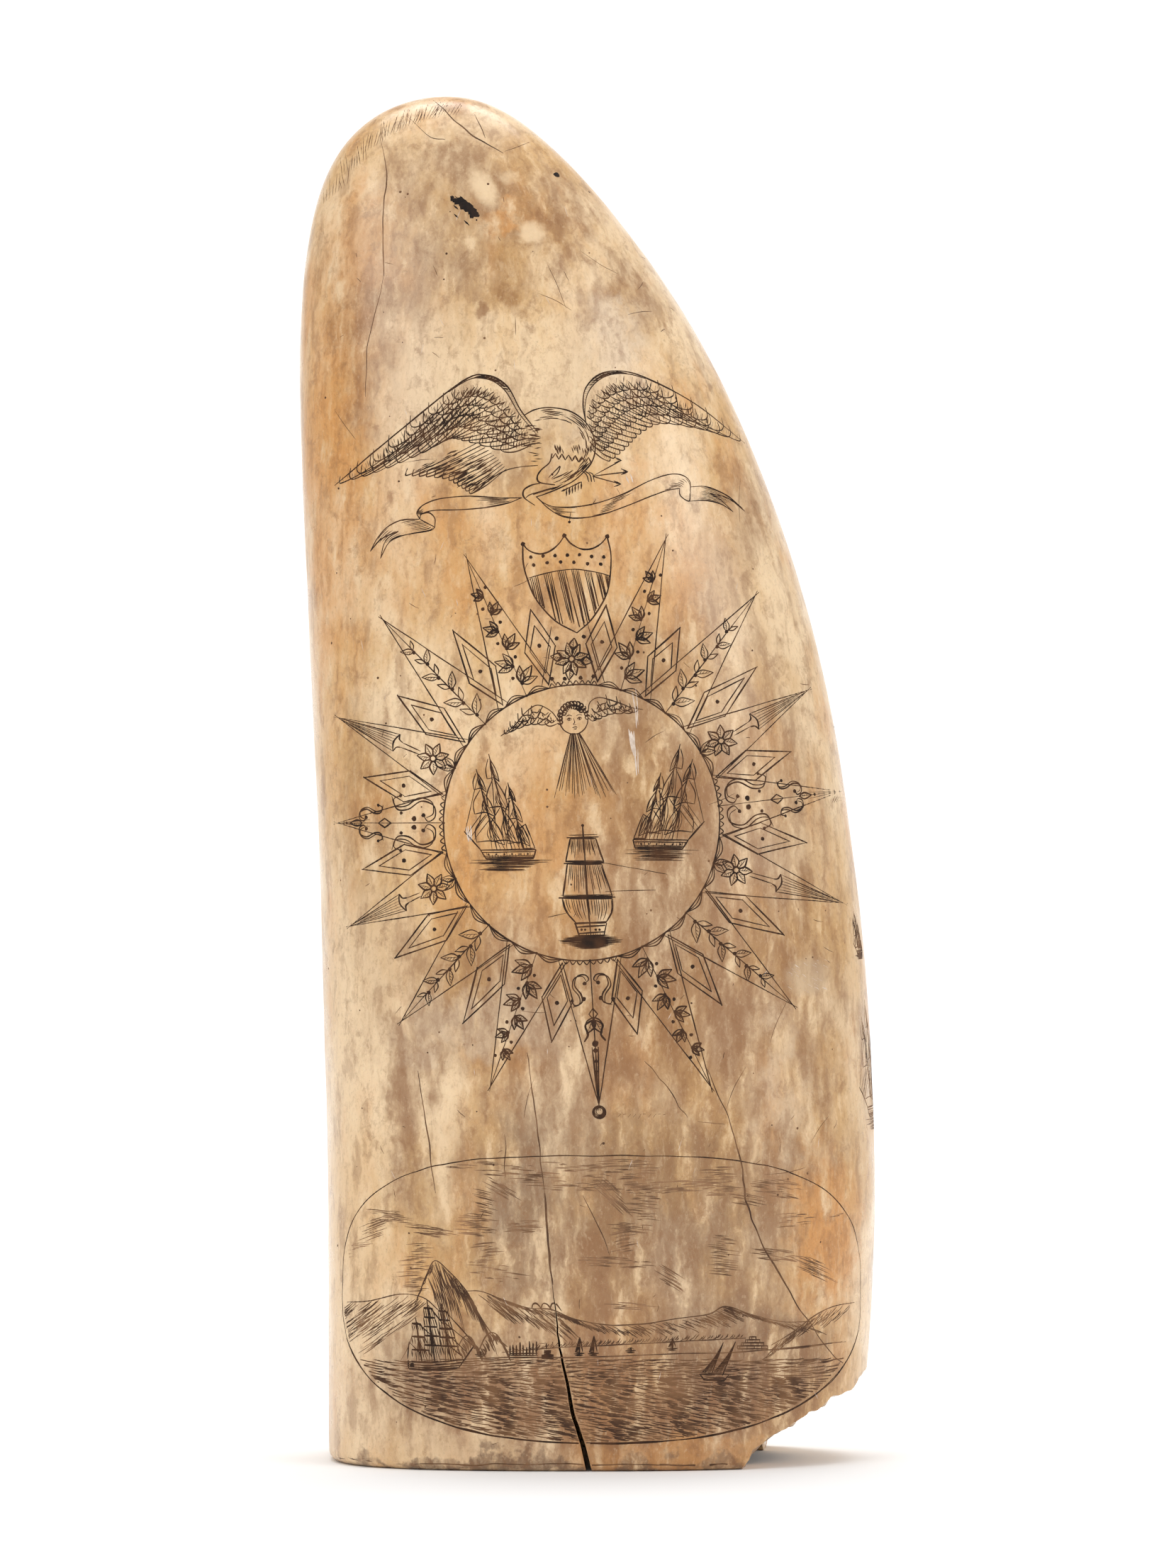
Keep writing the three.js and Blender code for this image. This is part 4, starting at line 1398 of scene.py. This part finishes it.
oval = Pen("harbour_oval")
outline = [oval_edge(math.tau * part / 180) for part in range(180)]
oval.line([*outline, outline[0]], FINE, sharp=0.8, waver=0.12)
lower = [oval_edge(math.pi + math.pi * part / 60, 1.003) for part in range(4, 58)]
oval.line(lower, CLEAR, sharp=0.5, waver=0.1)
oval.piece()

# %% Hills, shore and fort
def slope_cuts(pen, crest, start, stop, count, fall, uneven, width=HAIR):
    """Short strokes that run down from a crest line, from as much as uneven times the fall below it."""
    for cut in range(count):
        top = spot(crest, start + (stop - start) * (cut + hand.random()) / count)
        top = top + Vector(fall) * hand.uniform(0, uneven)
        bend = Vector((hand.uniform(0, 0.25), 0))
        down = Vector(fall) * hand.uniform(0.5, 1)
        pen.curve([top, top + down * 0.5 + bend, top + down], width, sharp=0.25)


land = Pen("harbour_land", WORN_INK)
land.window = [oval_edge(math.tau * part / 90, 0.995) for part in range(90)]
LEFT_HILL = through(((-34.2, 21.6), (-30.6, 21.8), (-26.4, 22.7), (-23.1, 22.3), (-20.8, 20.4)))
PEAK = through(((-23.7, 22.5), (-22.6, 25.3), (-21.4, 27.4), (-19.4, 25.9), (-17, 23.2),
                (-15.5, 20.4), (-13.6, 17.5), (-11.3, 15.4)))
RIDGE = through(((-17, 23.2), (-14.9, 23.1), (-12.2, 22.1), (-8.3, 20.8), (-5.2, 20.6),
                 (-1.7, 19.2), (3.4, 18.4), (9, 18.6)))
FAR_RIDGE = through(((3.4, 18.4), (8, 18.6), (12.2, 19.3), (16.8, 19.9), (19.2, 21),
                     (22.8, 19.9), (27, 18.9), (31, 18.9)))
RIGHT_HILL = through(((25.6, 15.6), (28.7, 17.5), (31.6, 19.7), (34.2, 21), (37.2, 21.6)))
SHORE = through(((-12, 14.6), (-3.7, 15.3), (3.1, 15.6), (12.2, 16.1), (22.1, 16.6)))
WATER_LINE = through(((-18.5, 13.6), (-10.9, 13.9), (-0.9, 13.9), (12.2, 14.4), (22, 14.7), (36, 16.1)))
for crest in (LEFT_HILL, PEAK, RIDGE, FAR_RIDGE, RIGHT_HILL, SHORE, WATER_LINE):
    land.line(crest, FINE, sharp=0.6)
SLOPES = (  # crest, where its cuts start and stop, how many, how they fall, how uneven their heads are
    (LEFT_HILL, 0.02, 0.9, 150, (-3.0, -2.2), 2.6),
    (PEAK, 0.15, 0.4, 34, (1.9, -6.5), 0.5),
    (PEAK, 0.35, 0.75, 54, (2.2, -5.0), 0.45),
    (PEAK, 0.42, 0.72, 24, (1.0, -2.4), 0.3),
    (PEAK, 0.0, 0.3, 22, (-0.7, -1.6), 0.6),
    (RIDGE, 0.05, 0.55, 60, (3.4, -2.8), 0.9),
    (RIDGE, 0.2, 0.5, 26, (2.0, -1.2), 0.3),
    (RIDGE, 0.5, 0.95, 70, (1.6, -1.0), 1.0),
    (FAR_RIDGE, 0.05, 0.95, 90, (2.0, -0.9), 1.2),
    (FAR_RIDGE, 0.35, 0.6, 28, (2.4, -1.2), 0.3),
    (RIGHT_HILL, 0.1, 1.0, 70, (-1.6, -1.7), 1.4),
    (SHORE, 0.1, 0.98, 90, (0.7, 0.8), 0.3),
)
for slope in SLOPES:
    slope_cuts(land, *slope)
TREE = ((-7.9, 20.7), (-7.6, 21.4), (-7.0, 21.3), (-6.3, 20.4))
for tree in range(3):
    land.curve([(x + 1.3 * tree, z) for x, z in TREE], CLEAR)
for left, right, height in ((-18.6, -15.2, 16.6), (-15.6, -11.2, 17.0)):
    shoulders = [((left * (3 - part) + right * part) / 3, height) for part in (1, 2)]
    crest = through(((left, 14.2), *shoulders, (right, 14.1)))
    land.line(crest, CLEAR, sharp=0.6)
    slope_cuts(land, crest, 0.1, 0.95, 22, (0.9, -1.8), 0.3, CLEAR)
FORT_LEFT, FORT_WIDE, FORT_BASE, STOREY = 20.9, 4.2, 15.1, 0.42
for storey in range(4):
    low = FORT_BASE + STOREY * storey
    left, right = FORT_LEFT + 0.55 * storey, FORT_LEFT + FORT_WIDE - 0.55 * storey
    corners = ((left, low), (left, low + STOREY), (right, low + STOREY), (right, low), (left, low))
    land.line(corners, CLEAR, sharp=0.9)
    for block in range(4 - storey):
        x = left + 0.3 + 1.02 * block
        land.line([(x, low + 0.38), (x, low + 0.05)], CLEAR)
land.line([(24.8, 14.9), (30, 15.3), (35.5, 16.1)], CLEAR)
land.piece()

# %% Boats and the three-master
boats = Pen("harbour_boats")
boats.step = 0.5


def small_boat(pen, x, z, tall, width=FINE):
    pen.at(x, z)
    pen.line([(0, 0), (0.05, tall)], CLEAR, sharp=0.5)
    pen.line([(0.05, tall), (-0.55, 0.35), (0, 0.3)], width)
    pen.line([(0.05, tall), (0.45, 0.35)], width)
    for cut in range(4):
        pen.line([(-0.45 + 0.12 * cut, 0.35), (0, tall * 0.85)], HAIR)
    pen.line([(-0.8, 0.1), (0.7, 0.15)], CLEAR)
    pen.line([(-0.6, -0.1), (0.5, -0.1)], CLEAR)


SMALL_BOATS = ((-1.2, 14.3, 2.4), (0.8, 14.3, 2.6), (11.8, 15.0, 1.5), (6.0, 14.7, 0.6), (-15.0, 14.2, 0.5))
for x, z, tall in SMALL_BOATS:
    small_boat(boats, x, z, tall)
boats.at()
for mast in range(9):
    x = -10.9 + 0.46 * mast
    boats.line([(x, 14.2), (x + hand.uniform(-0.05, 0.05), 15.3 + hand.uniform(0, 0.9))], CLEAR, sharp=0.6)
    boats.line([(x - 0.2, 14.9 + hand.uniform(-0.2, 0.4)), (x + 0.25, 15.0)], FINE)
for height in (14.2, 14.45, 13.9):
    boats.line([(-11, height), (-7, height)], CLEAR, sharp=0.5)
for row in range(8):
    inset = 0.35 if row > 3 else 0
    boats.line([(-6.5 + inset, 13.75 + 0.16 * row), (-4.8 - inset, 13.75 + 0.16 * row)], CLEAR, sharp=0.7)
boats.line([(-5.8, 15), (-5.8, 15.9)], CLEAR)
boats.line([(15.6, 11.6), (16.2, 10.8), (19.0, 10.6), (19.7, 11.5)], CLEAR)
boats.line([(15.6, 11.6), (19.7, 11.5)], FINE)
for foot, top in (((17.2, 11.4), (18.9, 16.0)), ((18.8, 11.4), (20.6, 16.1))):
    boats.line([foot, top], CLEAR, sharp=0.5)
    for cut in range(9):
        high = Vector(foot).lerp(Vector(top), 0.96 - 0.06 * abs(cut - 4))
        boats.line([(foot[0] - 1.35 + 0.14 * cut, 11.7), high], HAIR)
boats.at(-21.0, 12.3)
for rail, width in ((0, BOLD), (0.3, CLEAR), (0.62, FINE), (1.0, CLEAR)):
    stern = (2.9 + 1.1 * rail, rail + 0.12 + 0.2 * rail)
    boats.curve([(-4.0 + 0.15 * rail, rail), (-1, rail - 0.12), stern], width, sharp=0.7)
boats.line([(-4.1, 1.2), (-4.1, 0)], CLEAR)
boats.line([(2.9, 0.1), (5.2, 3.4)], CLEAR)
boats.dot((-3.6, 0.5), 0.42)
for foot, top, yards in ((-2.2, (-3.1, 7.1), 3), (-0.4, (-1.5, 9.6), 5), (1.9, (0.5, 9.1), 5)):
    foot = Vector((foot, 1.0))
    top = Vector(top)
    boats.line([foot, top], CLEAR, sharp=0.6)
    for yard in range(yards):
        height = 0.26 + 0.6 * yard / max(1, yards - 1)
        middle = foot.lerp(top, height)
        half = 1.25 * (1.15 - 0.75 * height)
        boats.line([middle + Vector((-half, 0.12)), middle + Vector((half, 0))], BOLD, sharp=0.7)
        below = foot.lerp(top, height - 0.15)
        for cut in range(6):
            share = -1 + 0.4 * cut
            high = middle + Vector((half * share, 0.05))
            low = below + Vector((half * share * 1.12 + 0.1, 0))
            boats.line([high, low], FINE if cut in (0, 5) else HAIR, sharp=0.4)
    for shroud in (-0.8, -0.4, 0.4, 0.8):
        boats.line([foot + Vector((shroud, 0)), foot.lerp(top, 0.55)], HAIR)
STAYS = (
    ((-4.0, 3.8), (-2.3, 2.0)), ((-4.0, 3.8), (-4.2, 1.4)), ((0.6, 8.6), (5.2, 3.4)),
    ((0.9, 6.5), (5.0, 3.2)), ((1.2, 5.0), (4.2, 2.2)), ((1.4, 3.4), (3.6, 1.6)),
    ((-1.4, 9.0), (0.8, 6.2)), ((-3.0, 6.6), (-1.0, 4.8)),
)
for stay in STAYS:
    boats.line(stay, FINE)
boats.piece()

# %% The sea
SEA_TOP = 13.9
SEA_BOTTOM = 2.2
WAVE_ROW = 0.30
WAVE_LONG = (1.2, 3.4)
DARK_PITCH = 8.2  # between the dark shafts in the water, which lean
DARK_HALF = 1.7
DARK_LEAN = -0.32

sea = Pen("harbour_sea", WORN_INK)
sea.window = [oval_edge(math.tau * part / 90, 0.988) for part in range(90)]
rows = int((SEA_TOP - SEA_BOTTOM) / WAVE_ROW)
for row in range(rows):
    height = SEA_TOP - 0.3 - WAVE_ROW * row
    x = -35.0 + hand.uniform(0, 2)
    while x < 38:
        long = hand.uniform(*WAVE_LONG)
        slant = 0.02 if row < 7 else -0.16 * min(1, (row - 6) / 8)
        slant += 0.24 * max(0, (x - 26) / 10) - 0.28 * max(0, (-22 - x) / 12)  # waves lift at both ends
        rise = hand.uniform(-0.14, 0.14) + 0.08 * math.sin(x * 0.8 + row)
        shaft = ((x + long / 2 - DARK_LEAN * (height - 8)) / DARK_PITCH) % 1
        dark = height < 11.5 and abs(shaft - 0.5) * DARK_PITCH < DARK_HALF
        start = Vector((x, height + rise))
        sag = Vector((long * 0.5, slant * long * 0.5 - 0.09))
        sea.curve([start, start + sag, start + Vector((long, slant * long))], FINE, sharp=0.25)
        if dark:
            for extra in (0.1, -0.1):
                begin = start + Vector((hand.uniform(0, 0.5), extra))
                end = begin + Vector((long, slant * long)) * 0.7
                sea.curve([begin, begin + sag * 0.7, end], FINE, sharp=0.25)
        x += long * hand.uniform(0.8, 1.15)
sea.piece()

# %% The sky
CLOUDS = (  # X and Z of the middle, half length, half height, how many cuts, tilt in degrees
    (-14, 40.3, 5.5, 0.9, 20, -3), (-3, 39.2, 6.5, 2.0, 52, -2), (4.5, 39.4, 4.5, 2.2, 52, 1),
    (-12.5, 37.6, 2.0, 0.9, 14, -28), (-14.6, 35.7, 0.8, 1.5, 14, -14), (3.4, 36.6, 1.8, 1.4, 20, -42),
    (-27.5, 33.6, 3.0, 0.8, 18, -6), (-30, 31.9, 1.2, 1.4, 16, 20), (-22.5, 31.6, 3.4, 0.7, 22, -8),
    (-15.5, 32.4, 2.4, 1.6, 30, -4), (-9, 32.2, 2.2, 0.8, 16, 3), (-14.3, 28.6, 1.2, 1.5, 16, 6),
    (-23.8, 26.4, 1.8, 3.4, 34, 2), (-14, 26.0, 5.0, 1.1, 14, -6), (-33, 28.8, 2.2, 1.0, 12, 8),
    (13, 37.8, 5.5, 0.8, 34, 3), (18.5, 38.6, 2.2, 2.0, 28, 0), (7.6, 35.4, 1.9, 2.4, 30, -5),
    (6.4, 32.0, 3.2, 0.6, 16, -4), (5.0, 30.5, 0.9, 1.9, 18, 10), (4.2, 27.2, 5.0, 0.7, 24, -3),
    (11.5, 25.0, 1.2, 1.3, 14, -32), (5.6, 21.1, 3.0, 0.5, 9, -4), (19, 28.2, 1.3, 2.8, 30, -6),
    (26.6, 37.6, 3.0, 1.3, 30, -8), (29, 33.2, 2.2, 1.0, 10, 4), (26.5, 28.2, 3.6, 0.8, 22, -8),
    (31.6, 26.4, 1.9, 1.2, 22, -24), (35.2, 34.0, 1.4, 0.3, 4, 8), (22.2, 36.0, 2.6, 0.8, 12, -10),
)
sky = Pen("harbour_sky", FAINT_INK)
sky.window = [oval_edge(math.tau * part / 90, 0.99) for part in range(90)]
for x, z, half_long, half_tall, count, tilt in CLOUDS:
    lean = math.tan(math.radians(tilt))
    for cut in range(count):
        height = half_tall * (2 * (cut + hand.random()) / count - 1)
        room = math.sqrt(max(0.1, 1 - (height / half_tall) ** 2 * 0.8)) * half_long
        middle = hand.uniform(-1, 1) * room
        half = hand.uniform(0.4, 1.7)
        path = []
        for part in (-1, 0, 1):
            out = middle + half * part
            path.append((x + out, z + height + out * lean - 0.05 * part**2))
        sky.line(path, HAIR if cut % 4 else FINE, sharp=0.2)
sky.piece()

# %% [markdown]
# ## Cracks, nicks and the other sides
# Drying cracks run along the tooth, and two centuries of handling have left nicks, a dark chip near
# the tip and a few pale scratches. These are laid down like the picture, in worn ink, tar or chalk.
# The sides that aren't in view carry plainer ships, cut by the same functions.

# %% Drying cracks
cracks = Pen("drying_cracks", WORN_INK)
MAIN_CRACK = ((-4.9, 24), (-5.5, 28.6), (-6.1, 36.8), (-6.6, 41.8), (-7.6, 49.8), (-8.5, 56.6))
RIGHT_CRACK = ((16.6, 54), (19.9, 46.5), (21.3, 41.1), (22.1, 36), (23.8, 30.9), (27.7, 23.7),
               (33.6, 14.9), (35.5, 13.2))
TIP_CRACK = ((-29.1, 184.2), (-28.1, 179.7), (-28.6, 173.8), (-28.5, 164.9), (-30.6, 155.9), (-31.1, 148))
for path, width in (
    (MAIN_CRACK[:3], BOLD), (MAIN_CRACK[2:], FINE), (RIGHT_CRACK, CLEAR),
    (TIP_CRACK[:4], FINE), (TIP_CRACK[3:], HAIR),
    (((-23.7, 54), (-22.4, 45), (-21.3, 36.7)), FINE), (((-11.6, 45), (-11.5, 39)), HAIR),
    (((-21.6, 189.6), (-17.3, 185.5), (-11.7, 182)), CLEAR), (((-11.6, 182.4), (-7.6, 183.8)), FINE),
    (((-25.4, 187.2), (-22, 184.5), (-20, 183.9)), HAIR), (((-15.8, 187.6), (-14.4, 184.2)), FINE),
):
    cracks.curve(path, width, sharp=0.4, waver=0.25)
cracks.piece()

# %% The black chip, the tip's worn facet, and nicks
chip = Pen("black_chips", ink("old_tar", paint(24, 17, 14), paint(44, 30, 22), 1.5))
CHIP_ENDS = (Vector((-18.9, 176.2)), Vector((-15.4, 173.1)))
for crumb in range(16):
    middle = CHIP_ENDS[0].lerp(CHIP_ENDS[1], crumb / 15)
    swell = math.sin(math.pi * (0.12 + 0.8 * crumb / 15))
    middle += Vector((hand.uniform(-0.35, 0.35), hand.uniform(-0.35, 0.35)))
    chip.dot(middle, (0.35 + hand.uniform(0.3, 0.6)) * swell, 5)
for stroke in range(14):
    start = Vector((hand.uniform(-18.8, -15.8), hand.uniform(172.6, 176.2)))
    chip.line([start, start + Vector((0.5, -0.5)) * hand.uniform(0.8, 2)], CLEAR, sharp=0.3)
chip.dot((-4.4, 179.1), 0.5)
chip.piece()

nicks = Pen("nicks", WORN_INK)
RIM_LINE = -1.1  # where the edge of the sawn root shows as a brown line, on the picture plane
FACET = through(((-37.2, 173.5), (-33.3, 179.3), (-29.1, 183.7), (-25, 185.9), (-21.8, 187.1),
                 (-17.4, 187.9)))
for fan in range(7):  # the carver's hatching on the worn facet of the tip
    heel = spot(FACET, 0.1 + 0.13 * fan)
    for stroke in range(9):
        angle = math.radians(96 + 12 * hand.uniform(-1, 1) - 6 * fan)
        start = heel + Vector((0.42 * (stroke - 4), 0.35 * (stroke - 4) * (1 - fan / 6)))
        end = start + Vector((math.cos(angle), math.sin(angle))) * hand.uniform(1.5, 3.4)
        nicks.line([start, end], HAIR, sharp=0.3)
for nick in range(110):
    start = Vector((hand.uniform(-36, 38), hand.uniform(2, 180)))
    angle = hand.uniform(0, math.tau)
    long = hand.uniform(0.4, 1.6) if nick % 5 else hand.uniform(2.5, 7)
    bend = Vector((hand.uniform(-0.4, 0.4), hand.uniform(-0.4, 0.4)))
    way = Vector((math.cos(angle), math.sin(angle))) * long
    nicks.curve([start, start + way * 0.5 + bend * long * 0.15, start + way], HAIR * 0.7, sharp=0.2)
for speck in range(120):
    nicks.dot((hand.uniform(-38, 40), hand.uniform(2, 184)), hand.uniform(0.08, 0.22), 6)
for stroke in range(6):  # the scribbled end of the east ray
    x = 34.1 + 0.3 * stroke
    nicks.line([(x, 91.4 + 0.06 * stroke), (x + 0.4, 92.3 - 0.05 * stroke)], FINE)
for stroke in range(10):
    x = 4.2 + 0.7 * stroke
    nicks.line([(x, 47.6 + hand.uniform(-0.4, 0.4)), (x + 0.4, 47.9)], FINE, sharp=0.3)
nicks.curve([(8.0, 55.4), (11, 51.5), (14, 47.4)], HAIR, waver=0.4)
nicks.curve([(-0.7, 36.5), (2.0, 31), (3.0, 28.2)], HAIR)
RIM_STROKES = ((-39, -24, CLEAR), (-25, -6, FINE), (-7, 12, FINE), (10, 22, CLEAR))
for start, end, width in RIM_STROKES:
    rim = [(start + (end - start) * part / 8, RIM_LINE + hand.uniform(-0.1, 0.15)) for part in range(9)]
    nicks.curve(rim, width, sharp=0.4)
for stroke in range(26):  # small chips of brown at the lower left corner
    start = Vector((hand.uniform(-37, -31), RIM_LINE + hand.uniform(0, 1.1)))
    nicks.line([start, start + Vector((0.9, -0.2)) * hand.uniform(0.4, 1.3)], FINE, sharp=0.3)
nicks.piece()

# %% Pale scratches
scratches = Pen("pale_scratches", ink("chalk_dust", paint(222, 206, 192), paint(196, 176, 158), 0.8))
SCRATCHES = (  # start, end, width of a stroke, how many strokes
    ((6.6, 107), (6.9, 101.8), 0.14, 3), ((6.0, 101.4), (6.6, 98), 0.3, 7),
    ((6.9, 98.5), (7.0, 95.2), 0.16, 3), ((-16.6, 88.2), (-16.4, 86.0), 0.22, 4),
    ((5.4, 137.0), (5.8, 136.0), 0.2, 3),
)
for start, end, width, count in SCRATCHES:
    for stroke in range(count):
        shift = Vector((hand.uniform(-0.5, 0.5), hand.uniform(-0.4, 0.4)))
        scratches.line([Vector(start) + shift, Vector(end) + shift * 0.6], width, sharp=0.3, waver=0.35)
for nick in range(60):
    start = Vector((hand.uniform(-34, 36), hand.uniform(4, 176)))
    end = start + Vector((hand.uniform(-0.7, 0.7), hand.uniform(-1.6, 1.6)))
    scratches.line([start, end], 0.09, sharp=0.3)
for nick in range(26):
    start = Vector((30.5 + hand.uniform(-2.8, 2.8), 67.5 + hand.uniform(-2.2, 2.2)))
    scratches.line([start, start + Vector((0.8, -0.5)) * hand.uniform(0.3, 1)], 0.16, sharp=0.3, waver=0.3)
scratches.piece()

# %% Plainer ships on the right side and the back
right_side_ships = Pen("right_side_ships", WORN_INK, seen_from=90)
ship_from_the_side(right_side_ships.at(-2, 46, size=1.15))
ship_from_the_side(right_side_ships.at(-5.5, 69.5, size=0.42))
right_side_ships.piece()
back_ships = Pen("back_ships", seen_from=180)
back_ships.step = 1.2
ship_from_the_side(back_ships.at(-8, 62, size=3.0))
ship_from_the_side(back_ships.at(16, 124, size=1.3, mirror=True))
ship_from_astern(back_ships.at(20, 100, size=0.9))
back_ships.at()
for row in range(4):
    back_ships.line([(-30 + 2 * row, 34 - 1.4 * row), (26 - 3 * row, 34 - 1.4 * row)], CLEAR, waver=0.3)
back_ships.piece()

# %% [markdown]
# ## The studio
# Polished ivory shows what stands round it, so it is lit like a small museum piece: a white sweep of
# paper that is floor and backdrop in one, large soft lights from both sides and above, and pale air.

# %% A white sweep of paper
SWEEP = 1.6  # half its width, and its height
SWEEP_BEND = 0.7  # radius of the bend between floor and backdrop
deselect_all()
bpy.ops.mesh.primitive_plane_add(size=2 * SWEEP, location=(0, SWEEP / 4, 0))
sweep = bpy.context.object
sweep.name = "paper_sweep"
bpy.ops.object.transform_apply(location=True)
for edge in sweep.data.edges:
    edge.select = all(sweep.data.vertices[v].co.y > SWEEP for v in edge.vertices)
for vertex in sweep.data.vertices:
    vertex.select = vertex.co.y > SWEEP
for face in sweep.data.polygons:
    face.select = False
bpy.ops.object.mode_set(mode="EDIT")
bpy.context.tool_settings.mesh_select_mode = (False, True, False)
bpy.ops.mesh.extrude_region_move(TRANSFORM_OT_translate={"value": (0, 0, SWEEP)})
bpy.ops.mesh.select_all(action="DESELECT")
bpy.ops.object.mode_set(mode="OBJECT")
for edge in sweep.data.edges:
    ends = [sweep.data.vertices[v].co for v in edge.vertices]
    edge.select = all(end.y > SWEEP and abs(end.z) < 0.001 for end in ends)
bpy.ops.object.mode_set(mode="EDIT")
bpy.ops.mesh.bevel(offset=SWEEP_BEND, segments=24)
bpy.ops.object.mode_set(mode="OBJECT")
bpy.ops.object.shade_smooth()
paper = Recipe("white_paper")
paper.feed(paper.shader.inputs["Base Color"], paint(250, 250, 250))
paper.feed(paper.shader.inputs["Roughness"], 0.9)
sweep.data.materials.append(paper.material)
print(f"the sweep has {len(sweep.data.polygons)} faces")

# %% Soft lights
def soft_light(name, place, size, power, aim=(0, 0, LENGTH * MM / 2)):
    """A square area light, which looks at the middle of the tooth unless told otherwise."""
    light = bpy.data.lights.new(name, "AREA")
    light.energy = power
    light.size = size
    lamp = bpy.data.objects.new(name, light)
    bpy.context.scene.collection.objects.link(lamp)
    lamp.location = place
    lamp.rotation_euler = (Vector(aim) - lamp.location).to_track_quat("-Z", "Y").to_euler()


soft_light("front_left", (-0.9, -1.1, 0.9), 0.9, 6.7)
soft_light("front_right", (1.0, -0.8, 0.7), 0.8, 5.2)
soft_light("overhead", (0, 0.1, 1.5), 1.2, 6.6)
soft_light("backdrop", (0, 0.45, 1.3), 1.0, 16, aim=(0, 1.6, 0.5))  # keeps the paper white behind
AIR_STRENGTH = 0.57
air = bpy.data.worlds.new("pale_air")
air.use_nodes = True
air.node_tree.nodes["Background"].inputs["Color"].default_value = (1, 1, 1, 1)
air.node_tree.nodes["Background"].inputs["Strength"].default_value = AIR_STRENGTH
bpy.context.scene.world = air
bpy.context.scene.view_settings.view_transform = "Standard"
print(f"{len(bpy.data.lights)} soft lights")

# %% Camera, level with the middle of the tooth, where the pen's eye is
CAMERA_LENS = 177.5
camera = bpy.data.cameras.new("camera")
camera.lens = CAMERA_LENS
camera.clip_start = 0.05
viewer = bpy.data.objects.new("camera", camera)
bpy.context.scene.collection.objects.link(viewer)
viewer.location = (0, -EYE_AWAY * MM, EYE_HEIGHT * MM)
viewer.rotation_euler = (math.radians(90), 0, 0)
bpy.context.scene.camera = viewer
print(f"the camera stands {EYE_AWAY} mm away, with a {CAMERA_LENS} mm lens")
